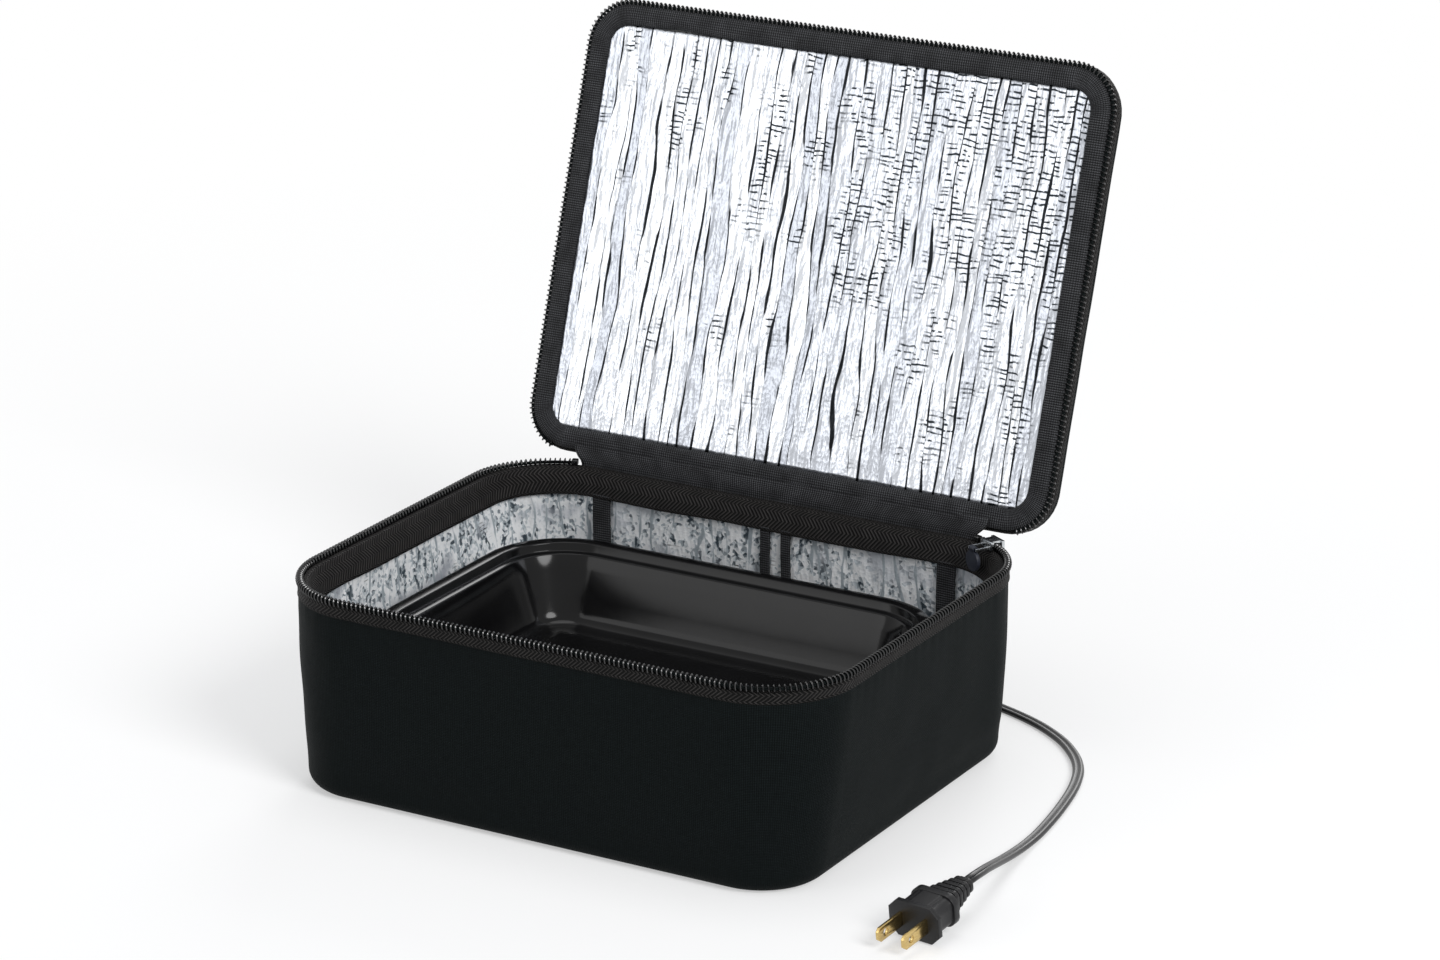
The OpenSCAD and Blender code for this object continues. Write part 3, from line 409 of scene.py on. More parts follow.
def round_point(w, d, r, share, stretches):
    """Place and outward direction on that outline, at a share of the way round it"""
    way = share * sum(stretches)
    k = 0
    while k < 8 and way > stretches[k]:
        way -= stretches[k]
        k += 1
    t = min(way / stretches[k], 1)
    x, y = w / 2 - r, d / 2 - r
    if k in (0, 8):
        return Vector((x * t if k == 0 else x * (t - 1), d / 2)), Vector((0, 1))
    if k == 2:
        return Vector((w / 2, y - 2 * y * t)), Vector((1, 0))
    if k == 4:
        return Vector((x - 2 * x * t, -d / 2)), Vector((0, -1))
    if k == 6:
        return Vector((-w / 2, 2 * y * t - y)), Vector((-1, 0))
    a = pi / 2 * (2 - (k + 1) / 2 - t)
    out = Vector((cos(a), sin(a)))
    return Vector((x if k < 5 else -x, y if k in (1, 7) else -y)) + r * out, out


def formed(name, across, rows, place, cloth, finish):
    """A sheet with across faces in a row, its corners set in mm by place(u, *row), of that cloth"""
    along = len(rows) - 1
    bpy.ops.object.select_all(action="DESELECT")
    bpy.ops.mesh.primitive_grid_add(x_subdivisions=across, y_subdivisions=along, size=1)
    piece = bpy.context.object
    piece.name = piece.data.name = name
    spots = [(corner.co.x + 0.5, corner.co.y + 0.5) for corner in piece.data.vertices]
    on_cloth = piece.data.uv_layers.active.data
    for loop in piece.data.loops:
        u, v = spots[loop.vertex_index]
        on_cloth[loop.index].uv = (u * cloth[0] * MM, v * cloth[1] * MM)
    for corner, (u, v) in zip(piece.data.vertices, spots):
        corner.co = Vector(place(u, *rows[round(v * along)])) * MM
    bpy.ops.object.mode_set(mode="EDIT")
    bpy.ops.mesh.select_all(action="SELECT")
    bpy.ops.mesh.remove_doubles(threshold=1e-6)
    bpy.ops.object.mode_set(mode="OBJECT")
    bpy.ops.object.shade_smooth()
    piece.data.materials.append(finish)
    return piece


BASE_WIDE, RIM_WIDE, BAG_DEEP, BASE_CORNER, RIM_CORNER, SEAM = 254, 270, 212, 30, 41, 88
BAG_LAP = lap(262, BAG_DEEP, 36)
BAG_GIRTH = sum(BAG_LAP)


def bag_point(share, z, inset):
    """A point of the bag's wall at height z, inset from its outside, and the way out there"""
    rise = held(z / SEAM)
    spot, out = round_point(BASE_WIDE + (RIM_WIDE - BASE_WIDE) * rise - 2 * inset,
                            BAG_DEEP - 2 * inset,
                            max(BASE_CORNER + (RIM_CORNER - BASE_CORNER) * rise - inset, 1),
                            share, BAG_LAP)
    return Vector((spot.x, spot.y, z)), Vector((out.x, out.y, 0))


def round_noise(share, spots, height):
    """Smooth noise round a closed band, with about so many spots in a lap"""
    reach = spots / tau
    return noise.noise(Vector((reach * cos(tau * share), reach * sin(tau * share), height)))


def woven_nodes(tree, pitch):
    """Height of a plain weave on the piece's own cloth, threads pitch mm apart, and the cloth"""
    cloth = add_node(tree, "UVMap", uv_map="UVMap")
    threads = add_node(tree, "VectorMath", cloth, (pi / (pitch * MM),) * 3,
                       operation="MULTIPLY")
    parts = add_node(tree, "SeparateXYZ", threads).outputs
    warp = add_node(tree, "Math", parts[0], operation="SINE")
    weft = add_node(tree, "Math", parts[1], operation="SINE")
    over = add_node(tree, "Math", warp, weft, operation="MULTIPLY")
    height = add_node(tree, "Math", over, operation="ABSOLUTE")
    return height, cloth


# Plain-woven polyester, dyed black. Its real threads are 0.4 mm apart; they are drawn at 0.9 mm
# so that the render shows them. The crowns of the threads are painted lighter and the gaps between
# them darker, as painted highlight and shade, more strongly along some single yarns
polyester, tree, shader = new_finish("woven_black_polyester", rough=0.6, shine=0.04)
height, cloth = woven_nodes(tree, 0.9)
slubs = []
for across, up in ((7.14, 1.11), (1.11, 7.14)):
    drawn = add_node(tree, "Mapping", {"Vector": cloth, "Scale": (1 / (across * MM), 1 / (up * MM), 1.0)})
    slubs.append(add_node(tree, "TexNoise", {"Vector": drawn, "Scale": 1.0, "Detail": 2.0}))
yarns = add_node(tree, "Math", *slubs, operation="ADD")
crown = add_node(tree, "Math", height, yarns, operation="MULTIPLY")
lit = add_node(tree, "MapRange", {"Value": crown, "From Min": 0.1, "From Max": 1.3})
surface_detail(tree, shader, "#070a0a", "#191f20", lit, height, 0.08)


def rolled(z, inset, r, turns):
    """Rows where a wall rolls in by radius r to a bottom at height z"""
    return [(z + r - r * sin(radians(a)), inset + r - r * cos(radians(a)), 1) for a in turns]


skin_rows = ([(SEAM + 0.2 - 81.2 * k / 28, 0, 1) for k in range(29)]
             + rolled(0, 0, 7, range(12, 97, 12))
             + [(0, 7, f) for f in (0.97, 0.8, 0.6, 0.4, 0.2, 0)])


def skin_place(u, z, inset, f):
    spot, out = bag_point(u, z, inset)
    if f == 1 and z > 6.9:
        swell = sin(pi * min((z - 6.9) / 81, 1)) ** 0.7
        soft = 0.9 * noise.noise(spot * 0.018) + 0.35 * noise.noise(spot * 0.05)
        # 113 small gathers in a lap, which die out 7 mm or so below the seam
        gather = (0.28 * sin(tau * 113 * u + 2.5 * round_noise(u, 26, 4))
                  * exp(-max((SEAM - z) / 7, 0)))
        fade = min((z - 6.9) / 12, 1) * min((SEAM + 2 - z) / 10, 1)
        spot += out * ((swell + soft) * fade + gather)
    return (spot.x * f, spot.y * f, max(spot.z, 0))


bag_fabric = formed("bag_fabric", 320, skin_rows, skin_place, (BAG_GIRTH, 150), polyester)
apply_modifier(bag_fabric, "SOLIDIFY", thickness=1.0 * MM, offset=-1)
stands_for(bag_fabric, "bag", "outer_fabric", "outer_shell")

# ------------------------ base board and foam
# A stiff board of black polypropylene in the bottom keeps it flat. White closed-cell foam,
# heat-laminated and cut to shape, stands round it between the fabric and the foil.


def finish_node(node, material):
    """Gives a CAD node a finish"""
    for material_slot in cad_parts[node].material_slots:
        material_slot.material = material


# Extruded polypropylene sheet: dull black, with faint rolling marks
finish_node("base_board", grained("rolled_polypropylene", "#1b1b1c", "#2a2a2b", 0.9, 0.03,
                                  rough=0.6))
# Closed-cell polyethylene foam: soft white, with small open cells on its cut faces, whose hollows are
# painted darker as shade
foam_cells, tree, shader = new_finish("closed_cell_foam", rough=0.85)
spot = add_node(tree, "TexCoord").outputs["Object"]
cells = add_node(tree, "TexVoronoi", {"Vector": spot, "Scale": 1 / (1.11 * MM)})
surface_detail(tree, shader, "#c9c9c3", "#ecece8", cells, cells, 0.2)
foam_rows = ([(86 - 71.5 * k / 12, 1.6, 1) for k in range(13)]
             + rolled(4.5, 1.6, 7, (30, 60, 90))
             + [(4.5, 8.6, f) for f in (0.6, 0.3, 0)])


def foam_place(u, z, inset, f):
    spot = bag_point(u, z, inset)[0]
    spot += 0.15 * Vector((noise.noise(spot * 0.05), 0, 0))
    return (spot.x * f, spot.y * f, spot.z)


bag_foam = formed("bag_foam", 120, foam_rows, foam_place, (BAG_GIRTH, 160), foam_cells)
apply_modifier(bag_foam, "SOLIDIFY", thickness=4.3 * MM, offset=-1)
stands_for(bag_foam, "bag", "foam", "insulation_foam")

# ------------------------ foil lining
# Aluminium-faced polyethylene film, sewn as the inside of the bag. Folding and turning it
# right side out has left it full of sharp creases, mostly upright, that stay for good.


def ridge(x, y, seed):
    """1 on the line of a crease, falling to 0 beside it"""
    return 1 - min(abs(noise.noise(Vector((x, y, seed)))) * 4, 1)


def creased(u, v):
    """How far the foil stands up, 0 to 1, at u mm across and v mm up its creases"""
    wander = 5 * noise.noise(Vector((u / 40, v / 45, 7)))
    return (0.5 * ridge((u + wander) / 17, v / 120, 1) + 0.3 * ridge((u - wander) / 8, v / 40, 2)
            + 0.2 * ridge(u / 20 + v / 26, v / 20 - u / 31, 3))


def foil_finish(name, pleat, line, rungs, crinkles, seed, **values):
    """Crinkled foil, with its reflections and shade painted into its colour. Pleats are pleat mm
    wide, each a painted reflection of its own tone, between creases painted in the colour line as
    shade, with rungs of painted shade across them and fine crinkles of painted reflections; rungs
    and crinkles are (start, more per metre across and up)"""
    material, tree, shader = new_finish(name, **values)
    cloth = add_node(tree, "UVMap", uv_map="UVMap")
    cloth_across, cloth_up = add_node(tree, "SeparateXYZ", cloth).outputs[:2]

    def cloud(across, up):
        """Soft noise whose spots are across by up mm"""
        scaled = add_node(tree, "Mapping", {"Vector": cloth, "Location": (seed, seed, 0), "Scale":
                          (1 / (across * MM), 1 / (up * MM), 1.0)})
        return add_node(tree, "TexNoise", {"Vector": scaled, "Scale": 1.0, "Detail": 2.0})

    def zone(where, across, up, blur):
        """1 past the start of rungs or crinkles, 0 before it, with a loose edge blur wide"""
        upwards = add_node(tree, "Math", cloth_up, where[2], cloud(across, up), operation="MULTIPLY_ADD")
        share = add_node(tree, "Math", cloth_across, where[1], upwards, operation="MULTIPLY_ADD")
        return add_node(tree, "MapRange", {"Value": share, "From Min": where[0],
                                           "From Max": where[0] + blur})

    def facets(across, up, turn):
        """Tone, for painted reflections, and height of facets about across by up mm"""
        scaled = add_node(tree, "Mapping", {"Vector": cloth, "Rotation": (0, 0, radians(turn)), "Scale":
                          (1 / (across * MM), 1 / (up * MM), 1.0)})
        loose = add_node(tree, "TexNoise", {"Vector": scaled, "Scale": 0.5}).outputs["Color"]
        bent = add_node(tree, "MixRGB", 0.25, scaled, loose, blend_type="ADD")
        cell = add_node(tree, "TexVoronoi", {"Vector": bent, "Scale": 1.0}, voronoi_dimensions="2D")
        return add_node(tree, "SeparateColor", cell.outputs["Color"]), cell

    def rows(at):
        """Distance to the next of a row of lines at uneven distances, a tone between for painted shade,
        and height
        """
        edge = add_node(tree, "TexVoronoi", {"W": at, "Scale": 1.0},
                        voronoi_dimensions="1D", feature="DISTANCE_TO_EDGE")
        cell = add_node(tree, "TexVoronoi", {"W": at, "Scale": 1.0}, voronoi_dimensions="1D")
        return edge, add_node(tree, "SeparateColor", cell.outputs["Color"]), cell

    # Long creases, painted as lines of shade, which swell and thin out along their length
    sway = add_node(tree, "Math", cloud(24, 90), 2.2, operation="MULTIPLY")
    pleat_edge, pleat_shade_and_rung_shift, pleat_rise = rows(
        add_node(tree, "Math", cloth_across, 1 / (pleat * MM), sway, operation="MULTIPLY_ADD"))
    stroke = add_node(tree, "MapRange", {"Value": cloud(3.5, 36), "From Min": 0.44, "From Max": 0.6})
    from_stroke = add_node(tree, "Math", stroke, -0.1, pleat_edge, operation="MULTIPLY_ADD")
    crease_shade_line = add_node(tree, "MapRange", {"Value": from_stroke, "From Min": -0.015, "From Max": 0.03,
                                              "To Min": 1.0, "To Max": 0.0})
    # Rungs of painted shade: each pleat has its own, 2.7 mm or so apart up it
    slope = add_node(tree, "Math", cloud(9, 9), 1.2, operation="MULTIPLY")
    height = add_node(tree, "Math", cloth_up, 1 / (2.7 * MM), slope, operation="MULTIPLY_ADD")
    rung_edge = rows(add_node(tree, "Math", pleat_shade_and_rung_shift, 60.0, height, operation="MULTIPLY_ADD"))[0]
    rung = add_node(tree, "MapRange", {"Value": rung_edge, "From Min": 0.1, "From Max": 0.22,
                                       "To Min": 1.0, "To Max": 0.0})
    broken = add_node(tree, "MapRange", {"Value": cloud(4, 7), "From Min": 0.42, "From Max": 0.5})
    placed = add_node(tree, "Math", rung, zone(rungs, 16, 30, 0.1), operation="MULTIPLY")
    rung_shade = add_node(tree, "Math", placed, broken, operation="MULTIPLY")
    # Crinkles: upright and slanting facets, each with a painted reflection of its own tone from dark to
    # bright, in patches
    upright, slanting, fine = facets(2.3, 10, 0), facets(3.0, 13, 38), facets(1.5, 2.2, 0)
    reflection_tones = add_node(tree, "MixRGB", 0.5, upright[0], slanting[0])
    reflection_tones = add_node(tree, "MixRGB", 0.4, reflection_tones, fine[0])
    facet_reflections = add_node(tree, "ValToRGB", reflection_tones)
    steps = facet_reflections.color_ramp.elements
    steps[0].position, steps[0].color = 0.22, srgb("#434e56")
    steps[1].position, steps[1].color = 0.54, srgb("#fbfcfd")
    steps.new(0.38).color = srgb("#c0c9cf")
    # Each pleat is painted a lighter or darker grey as a painted reflection. Over it go the crinkles'
    # painted reflections, the rungs' painted shade and the creases' painted shade
    colour = add_node(tree, "MixRGB", pleat_shade_and_rung_shift, srgb("#afb3bb"), srgb("#dfe2e7"))
    for share, tone in ((zone(crinkles, 26, 34, 0.16), facet_reflections), (rung_shade, srgb("#20262b")),
                        (crease_shade_line, srgb(line))):
        colour = add_node(tree, "MixRGB", share, colour, tone)
    tree.links.new(colour.outputs[0], shader.inputs["Base Color"])
    relief = pleat_rise
    for facet, share in ((slanting, 0.5), (upright, 0.6), (fine, 0.25)):
        relief = add_node(tree, "Math", facet[1], share, relief, operation="MULTIPLY_ADD")
    bump = add_node(tree, "Bump", {"Strength": 1.0, "Distance": 0.4 * MM, "Height": relief})
    tree.links.new(bump.outputs[0], shader.inputs["Normal"])
    return material


# Aluminium on film: a bright metal with mirror-like facets, whose reflections are painted into its
# colour as light and dark tones; its creases are painted as pale grey lines of shade
lining_foil = foil_finish("crinkled_foil_lining", 11.0, "#aab3b9", (0.62, 0, 0), (0.32, 0, 0), 3.1,
                          metal=0.2, rough=0.3)
lining_rows = ([(83.8 - 71 * k / 36, 7.0, 1) for k in range(37)]
               + rolled(10.2, 7.0, 3, (30, 60, 90))
               + [(10.2, 10, 1 - k / 20) for k in range(1, 21)])


def lining_place(u, z, inset, f):
    spot, out = bag_point(u, z, inset)
    if f == 1 and z > 13:
        lift = 0.9 * creased(u * BAG_GIRTH, z) - 0.45
        spot -= out * lift * min((SEAM - z) / 5 + 0.3, 1)
        return spot
    lift = 0.35 * creased(spot.x * f, spot.y * f) * min(8 * (1 - f), 1)
    return (spot.x * f, spot.y * f, spot.z + lift)


bag_lining = formed("foil_bag_lining", 420, lining_rows, lining_place, (BAG_GIRTH, 190),
                    lining_foil)
apply_modifier(bag_lining, "SOLIDIFY", thickness=0.3 * MM, offset=1)
stands_for(bag_lining, "bag", "foil", "foil_lining")

# ------------------------ rim band
# A black herringbone tape folded over the top of the wall. It slopes down inside the rim and
# hides the raw edges of foil, foam and fabric.


def band_finish(name, rib, dark, light, **values):
    """Woven tape with ribs across it, rib mm apart, over a fine weave. Its crowns carry a painted
    highlight in patches, and the hollows between them painted shade
    """
    material, tree, shader = new_finish(name, **values)
    height, cloth = woven_nodes(tree, rib)
    parts = add_node(tree, "SeparateXYZ", cloth).outputs
    turns = add_node(tree, "Math", parts[0], tau / (rib * MM), operation="MULTIPLY")
    ribs = add_node(tree, "Math", turns, operation="SINE")
    both = add_node(tree, "Math", ribs, 0.35, height, operation="MULTIPLY_ADD")
    highlight_patches = add_node(tree, "TexNoise", {"Vector": cloth, "Scale": 1 / (9.09 * MM), "Detail": 3.0})
    share = add_node(tree, "Math", both, highlight_patches, operation="MULTIPLY")
    lit = add_node(tree, "MapRange", {"Value": share, "From Min": 0.0, "From Max": 0.75})
    surface_detail(tree, shader, dark, light, lit, both, 0.18)
    return material


# Ribbed tape, woven from bright black yarn: ribs 1.1 mm apart, with a faint painted highlight on
# their crowns
ribbed_tape = band_finish("ribbed_black_tape", 1.1, "#0a0a0b", "#545558", rough=0.55, shine=0.12)
# Herringbone tape, woven from matt polyester: slanted ribs that turn back along the middle, their
# crowns painted lighter in patches as a highlight and the hollows darker as painted shade. They
# are 1 mm apart, drawn at 2 mm so that the render shows them.
herringbone, tree, shader = new_finish("herringbone_zip_tape", rough=0.6, shine=0.1)
cloth = add_node(tree, "UVMap", uv_map="UVMap")
parts = add_node(tree, "SeparateXYZ", cloth).outputs
folded = add_node(tree, "Math", parts[1], 3.1 * MM, operation="PINGPONG")
slanted = add_node(tree, "Math", folded, 1.1, parts[0], operation="MULTIPLY_ADD")
turns = add_node(tree, "Math", slanted, tau / (2.0 * MM), operation="MULTIPLY")
ribs = add_node(tree, "Math", turns, operation="SINE")
highlight_patches = add_node(tree, "TexNoise", {"Vector": cloth, "Scale": 1 / (6.25 * MM), "Detail": 3.0})
rib_highlights = add_node(tree, "Math", ribs, highlight_patches, operation="MULTIPLY")
share = add_node(tree, "MapRange", {"Value": rib_highlights, "From Min": -0.1, "From Max": 0.6})
surface_detail(tree, shader, "#050505", "#363433", share, ribs, 0.2)
rim_profile = [(3.6, 89.0), (5.4, 87.9), (6.9, 85.2), (8.0, 81.6), (8.6, 79.6), (9.1, 79.8),
               (8.7, 81), (7.5, 84.2), (6.2, 87.4), (4.8, 89.9), (3.4, 91.3), (2.2, 91.5),
               (1.6, 90.6), (1.7, 88.2)]


def rim_place(u, inset, z):
    sway = 0.5 * round_noise(u, 30, 11)
    hem = 0.8 * round_noise(u, 17, 31) if z < 82 else 0
    return bag_point(u, z + hem, inset + sway * min((92 - z) / 6, 1))[0]


rim_tape = formed("rim_band_tape", 300, rim_profile + rim_profile[:1], rim_place,
                  (BAG_GIRTH, 36), herringbone)
face_outwards(rim_tape)
stands_for(rim_tape, "bag", "woven_band", "rim_band")

# ------------------------ zip on the rim
# A nylon coil zip, dyed black. Its woven tape is sewn round the top of the bag, and its wire is
# wound in flat loops over a filler cord, 1.9 mm apart, drawn at 2.3 mm so that the loops show.

ZIP_PITCH = 2.3


def zip_spot(s, w, d, r):
    """Place along a zip half, s mm from its rear right end, the way out there, and its length"""
    stretches = lap(w, d, r)
    hinged = stretches[0] + r * radians(18)
    spot, out = round_point(w, d, r, (hinged + s) / sum(stretches), stretches)
    return spot, out, sum(stretches) - 2 * hinged


bpy.ops.object.select_all(action="DESELECT")
bpy.ops.mesh.primitive_torus_add(major_segments=12, minor_segments=5, major_radius=1.0,
                                 minor_radius=0.42, rotation=(0, pi / 2, 0))
one_loop = bpy.context.object
bpy.ops.object.transform_apply(rotation=True)
loop_corners = [corner.co.copy() for corner in one_loop.data.vertices]
loop_faces = [tuple(face.vertices) for face in one_loop.data.polygons]
bpy.data.objects.remove(one_loop)


def zip_half(name, w, d, r, level, tall, to_place):
    """Loops of wire, tall times as high as wide, and their filler cord, along a zip half"""
    whole = zip_spot(0, w, d, r)[2]
    count = floor(whole / ZIP_PITCH)
    corners, faces = [], []
    for i in range(count):
        spot, out, _ = zip_spot((i + 0.5) * whole / count, w, d, r)
        way = Vector((out.y, -out.x))
        middle = spot - 0.4 * out
        start = len(corners)
        for corner in loop_corners:
            # The loops lean a little along the zip, as a wound wire does
            along, across, up = 0.9 * corner.x + 0.2 * corner.z, 1.3 * corner.y, tall * corner.z
            place = middle + across * out + along * way
            corners.append(to_place(place.x, place.y, level + up))
        faces += [tuple(start + k for k in face) for face in loop_faces]
    loops = built(name, corners, faces, nylon_wire)
    steps = ceil(whole / 3)
    cord = []
    for i in range(steps + 1):
        spot, out, _ = zip_spot(whole * i / steps, w, d, r)
        cord.append(to_place(spot.x - 0.5 * out.x, spot.y - 0.5 * out.y, level))
    filler = swept(name + "_filler", cord, flat_section(1.5, 1.5, 0.6, 2), polyester,
                   level=to_place(0, 0, 1) - to_place(0, 0, 0))
    face_outwards(loops)
    filler.select_set(True)
    bpy.ops.object.join()
    smooth_shaded(loops, 50)
    return loops


# Drawn nylon wire: smooth, black and fairly shiny, so each loop carries a small highlight
nylon_wire = grained("drawn_black_nylon", "#070708", "#151516", 1.0, 0.004, rough=0.2, shine=0.7)
rim_teeth = zip_half("rim_zip_loops", RIM_WIDE, BAG_DEEP, RIM_CORNER, 92.3, 1.5,
                     lambda x, y, z: Vector((x, y, z)))
stands_for(rim_teeth, "bag", "zip_coil", "rim_zip_coil")

tape_profile = [(0.3, 91.4), (-0.35, 90.6), (-0.5, 89), (-0.5, 87.2), (-0.75, 85.9),
                (-0.2, 85.3), (0.5, 86), (1.1, 88.2), (1.25, 90.5), (0.9, 91.4)]


def tape_place(u, inset, z):
    return bag_point(u, z + 0.25 * round_noise(u, 26, 51),
                     inset + 0.2 * round_noise(u, 52, z * 0.1))[0]


rim_tape_outer = formed("rim_zip_tape_cloth", 300, tape_profile + tape_profile[:1], tape_place,
                        (BAG_GIRTH, 18), herringbone)
stands_for(rim_tape_outer, "bag", "zip_tape", "rim_zip_tape")

softened("zip_ends", "zip_end_stops", 0.4, nylon_wire, "bag", "zip_coil")

# ------------------------ bindings on the back wall
# Seams of the lining bound in black tape: a wide one at either side, and a pair that binds the
# slit by which the cord's inner end reaches the heating unit.


def binding(name, x, wide, low, foot):
    """A folded tape down the back wall to height low, whose foot swings sideways"""
    top, path = 81.5, []
    for k in range(30):
        t = k / 29
        sway = 0.5 * noise.noise(Vector((x * 0.1, t * 3, 5))) + foot * t ** 3
        bulge = 0.25 * noise.noise(Vector((x * 0.3, t * 5, 9)))
        path.append((x + sway, 97.95 - bulge, top + (low - top) * t))
    return swept(name, path, flat_section(wide, 1.2, 0.55), ribbed_tape, level=(0, 1, 0), angle=60)


left_binding = binding("binding_left", -87, 9.5, 12.8, 0.5)
stands_for(left_binding, "bag", "woven_band", "seam_binding_left")
right_binding = binding("binding_right", 92.5, 9.5, 12.8, -7)
stands_for(right_binding, "bag", "woven_band", "seam_binding_right")
slit_binding = binding("binding_slit", -0.4, 5, 21, 0)
slit_right = binding("binding_slit_right", 10.4, 5, 21, 0)
keep_only_selected(slit_binding)
slit_right.select_set(True)
bpy.ops.object.join()
stands_for(slit_binding, "bag", "woven_band", "slit_bindings")

# ------------------------ cord outlet
# A soft PVC grommet through the back wall with a ribbed, tapered strain relief behind it.

# Soft PVC with a matt moulded skin
soft_pvc = grained("matt_black_pvc", "#0b0b0c", "#1d1d1f", 0.7, 0.02, rough=0.6, shine=0.2)
softened("cord_grommet", "cord_outlet", 0.35, soft_pvc, "bag", "soft_rubber")

# ------------------------ lid, outer fabric and foam
# The lid is a flat tray of the same polyester over a slab of white foam. Its edge is rolled and
# its back swells a little.

LID_WIDE, LID_DEEP, LID_CORNER, LID_TILT, HINGE_AT = 270, 210, 21, 71.5, (0, 107.4, 95.9)
LID = (Matrix.Translation(HINGE_AT) @ Matrix.Rotation(radians(LID_TILT), 4, "X")
       @ Matrix.Translation((0, LID_DEEP / 2 + 0.3, 0)))
LID_LAP = lap(LID_WIDE, LID_DEEP, LID_CORNER)
LID_GIRTH = sum(LID_LAP)


def on_lid(x, y, z):
    return LID @ Vector((x, y, z))


def lid_point(share, inset, z, f=1):
    """A point on the lid: round its outline, inset, at a height over its foil face"""
    spot = round_point(LID_WIDE - 2 * inset, LID_DEEP - 2 * inset, max(LID_CORNER - inset, 1),
                       share, LID_LAP)[0]
    return on_lid(spot.x * f, spot.y * f, z)


lid_rows = ([(0.1, z, 1) for z in (-7.4, -8.2, -9)]
            + [(5 - 5 * cos(radians(a)), -9 - 5 * sin(radians(a)), 1) for a in (18, 36, 54, 72, 90)]
            + [(5, -14, 1 - k / 14) for k in range(1, 15)])


def lid_skin_place(u, inset, z, f):
    swell = 1.2 * (1 - f ** 3) + 0.5 * round_noise(u, 4 * tau * f, 3)
    out = 0.35 * round_noise(u, 28, z * 0.1 + 13) if f == 1 else 0
    return lid_point(u, inset - out, z - swell, f)


lid_fabric = formed("lid_fabric", 260, lid_rows, lid_skin_place, (LID_GIRTH, 120), polyester)
apply_modifier(lid_fabric, "SOLIDIFY", thickness=1.0 * MM, offset=-1)
stands_for(lid_fabric, "lid", "outer_fabric", "lid_outer_panel")

slab_rows = ([(3, -2.4, k / 4) for k in range(5)] + [(2.6, -3, 1), (2.6, -11, 1), (4.2, -12.6, 1)]
             + [(4.2, -12.7, 1 - k / 4) for k in range(1, 5)])
lid_slab = formed("lid_foam_slab", 120, slab_rows, lid_point, (LID_GIRTH, 220), foam_cells)
stands_for(lid_slab, "lid", "foam", "lid_foam")

# ------------------------ lid, foil panel
# The same foil as the lining, stretched over the foam. It has creased in long upright folds,
# crossed by short rungs of painted shade towards the right; its creases are painted near-black lines of
# shade

FOIL_WIDE, FOIL_DEEP = 248.6, 188.6
lid_foil = foil_finish("crinkled_foil_lid", 6.5, "#15181b", (0.74, 1.0, 1.1), (0.86, 0.7, 0.5),
                       8.7, metal=0.9, rough=0.28)


def lid_foil_place(u, v):
    x, y = FOIL_WIDE * (u - 0.5), FOIL_DEEP * (v - 0.5)
    edge = min(FOIL_WIDE / 2 - abs(x), FOIL_DEEP / 2 - abs(y), 8) / 8
    return on_lid(x, y, -0.9 + edge * (0.7 * creased(x * 1.1, y * 0.9) - 0.05))


lid_foil_sheet = formed("lid_foil_sheet", 200, [(k / 110,) for k in range(111)], lid_foil_place,
                        (FOIL_WIDE, FOIL_DEEP), lid_foil)
apply_modifier(lid_foil_sheet, "SOLIDIFY", thickness=0.3 * MM, offset=-1)
stands_for(lid_foil_sheet, "lid", "foil", "lid_foil_panel")

# ------------------------ lid, binding and zip
# A soft ribbed tape folded round the edge of foil and foam and sewn down, with the other half
# of the zip outside it.

binding_profile = [(1.9, -2.2), (1.2, -1.4), (1.3, -0.7), (2.2, 0.0), (4.2, 0.45), (6.6, 0.7),
                   (8.8, 0.6), (10.2, 0.3), (10.9, -0.3), (10.9, -1.0), (10.2, -1.8), (6, -2.2)]


def binding_place(u, inset, z):
    inner = held((inset - 4) / 6)
    sway = 0.7 * round_noise(u, 28, 71) * inner
    z += 0.25 * round_noise(u, 84, inset * 0.2 + 81) * inner if z > 0 else 0
    # The tape lies flat round the corner that the slider passes under
    spot = round_point(LID_WIDE, LID_DEEP, LID_CORNER, u, LID_LAP)[0]
    flat = held((spot.x - 94) / 8) * held((-24 - spot.y) / 8)
    return lid_point(u, inset + sway, z + flat * min(-0.15 - z, 0))


lid_binding = formed("lid_binding_tape", 300, binding_profile + binding_profile[:1], binding_place,
                     (LID_GIRTH, 26), ribbed_tape)
face_outwards(lid_binding)
stands_for(lid_binding, "lid", "woven_band", "lid_binding")

lid_tape_profile = [(1.3, -2.2), (0.1, -2.3), (-0.35, -3.4), (-0.45, -5.6), (-0.3, -7.6),
                    (0.3, -8.3), (1.0, -7.6), (1.3, -5)]


def lid_tape_place(u, inset, z):
    return lid_point(u, inset + 0.2 * round_noise(u, 46, z * 0.1 + 91), z)


lid_tape = formed("lid_zip_tape_cloth", 260, lid_tape_profile + lid_tape_profile[:1], lid_tape_place,
                  (LID_GIRTH, 18), herringbone)
face_outwards(lid_tape)
stands_for(lid_tape, "lid", "zip_tape", "lid_zip_tape")

lid_teeth = zip_half("lid_zip_loops", LID_WIDE, LID_DEEP, LID_CORNER, -1.3, 1.05,
                     lambda x, y, z: on_lid(x, -y, z))
stands_for(lid_teeth, "lid", "zip_coil", "lid_zip_coil")

# ------------------------ hinge strip
# A strip of the ribbed tape, sewn to the back of the rim and under the lid's binding, on which
# the lid turns. Its ends follow the rim a little way round the corners.

hinge_rows = [(106.75, 83.8), (106.8, 86), (106.85, 88), (106.85, 90), (106.85, 92), (106.95, 93.6),
              (107.15, 95), (107.45, 96), (107.8, 97.1), (108.2, 98.3), (108.7, 99.8), (109.2, 101.3)]


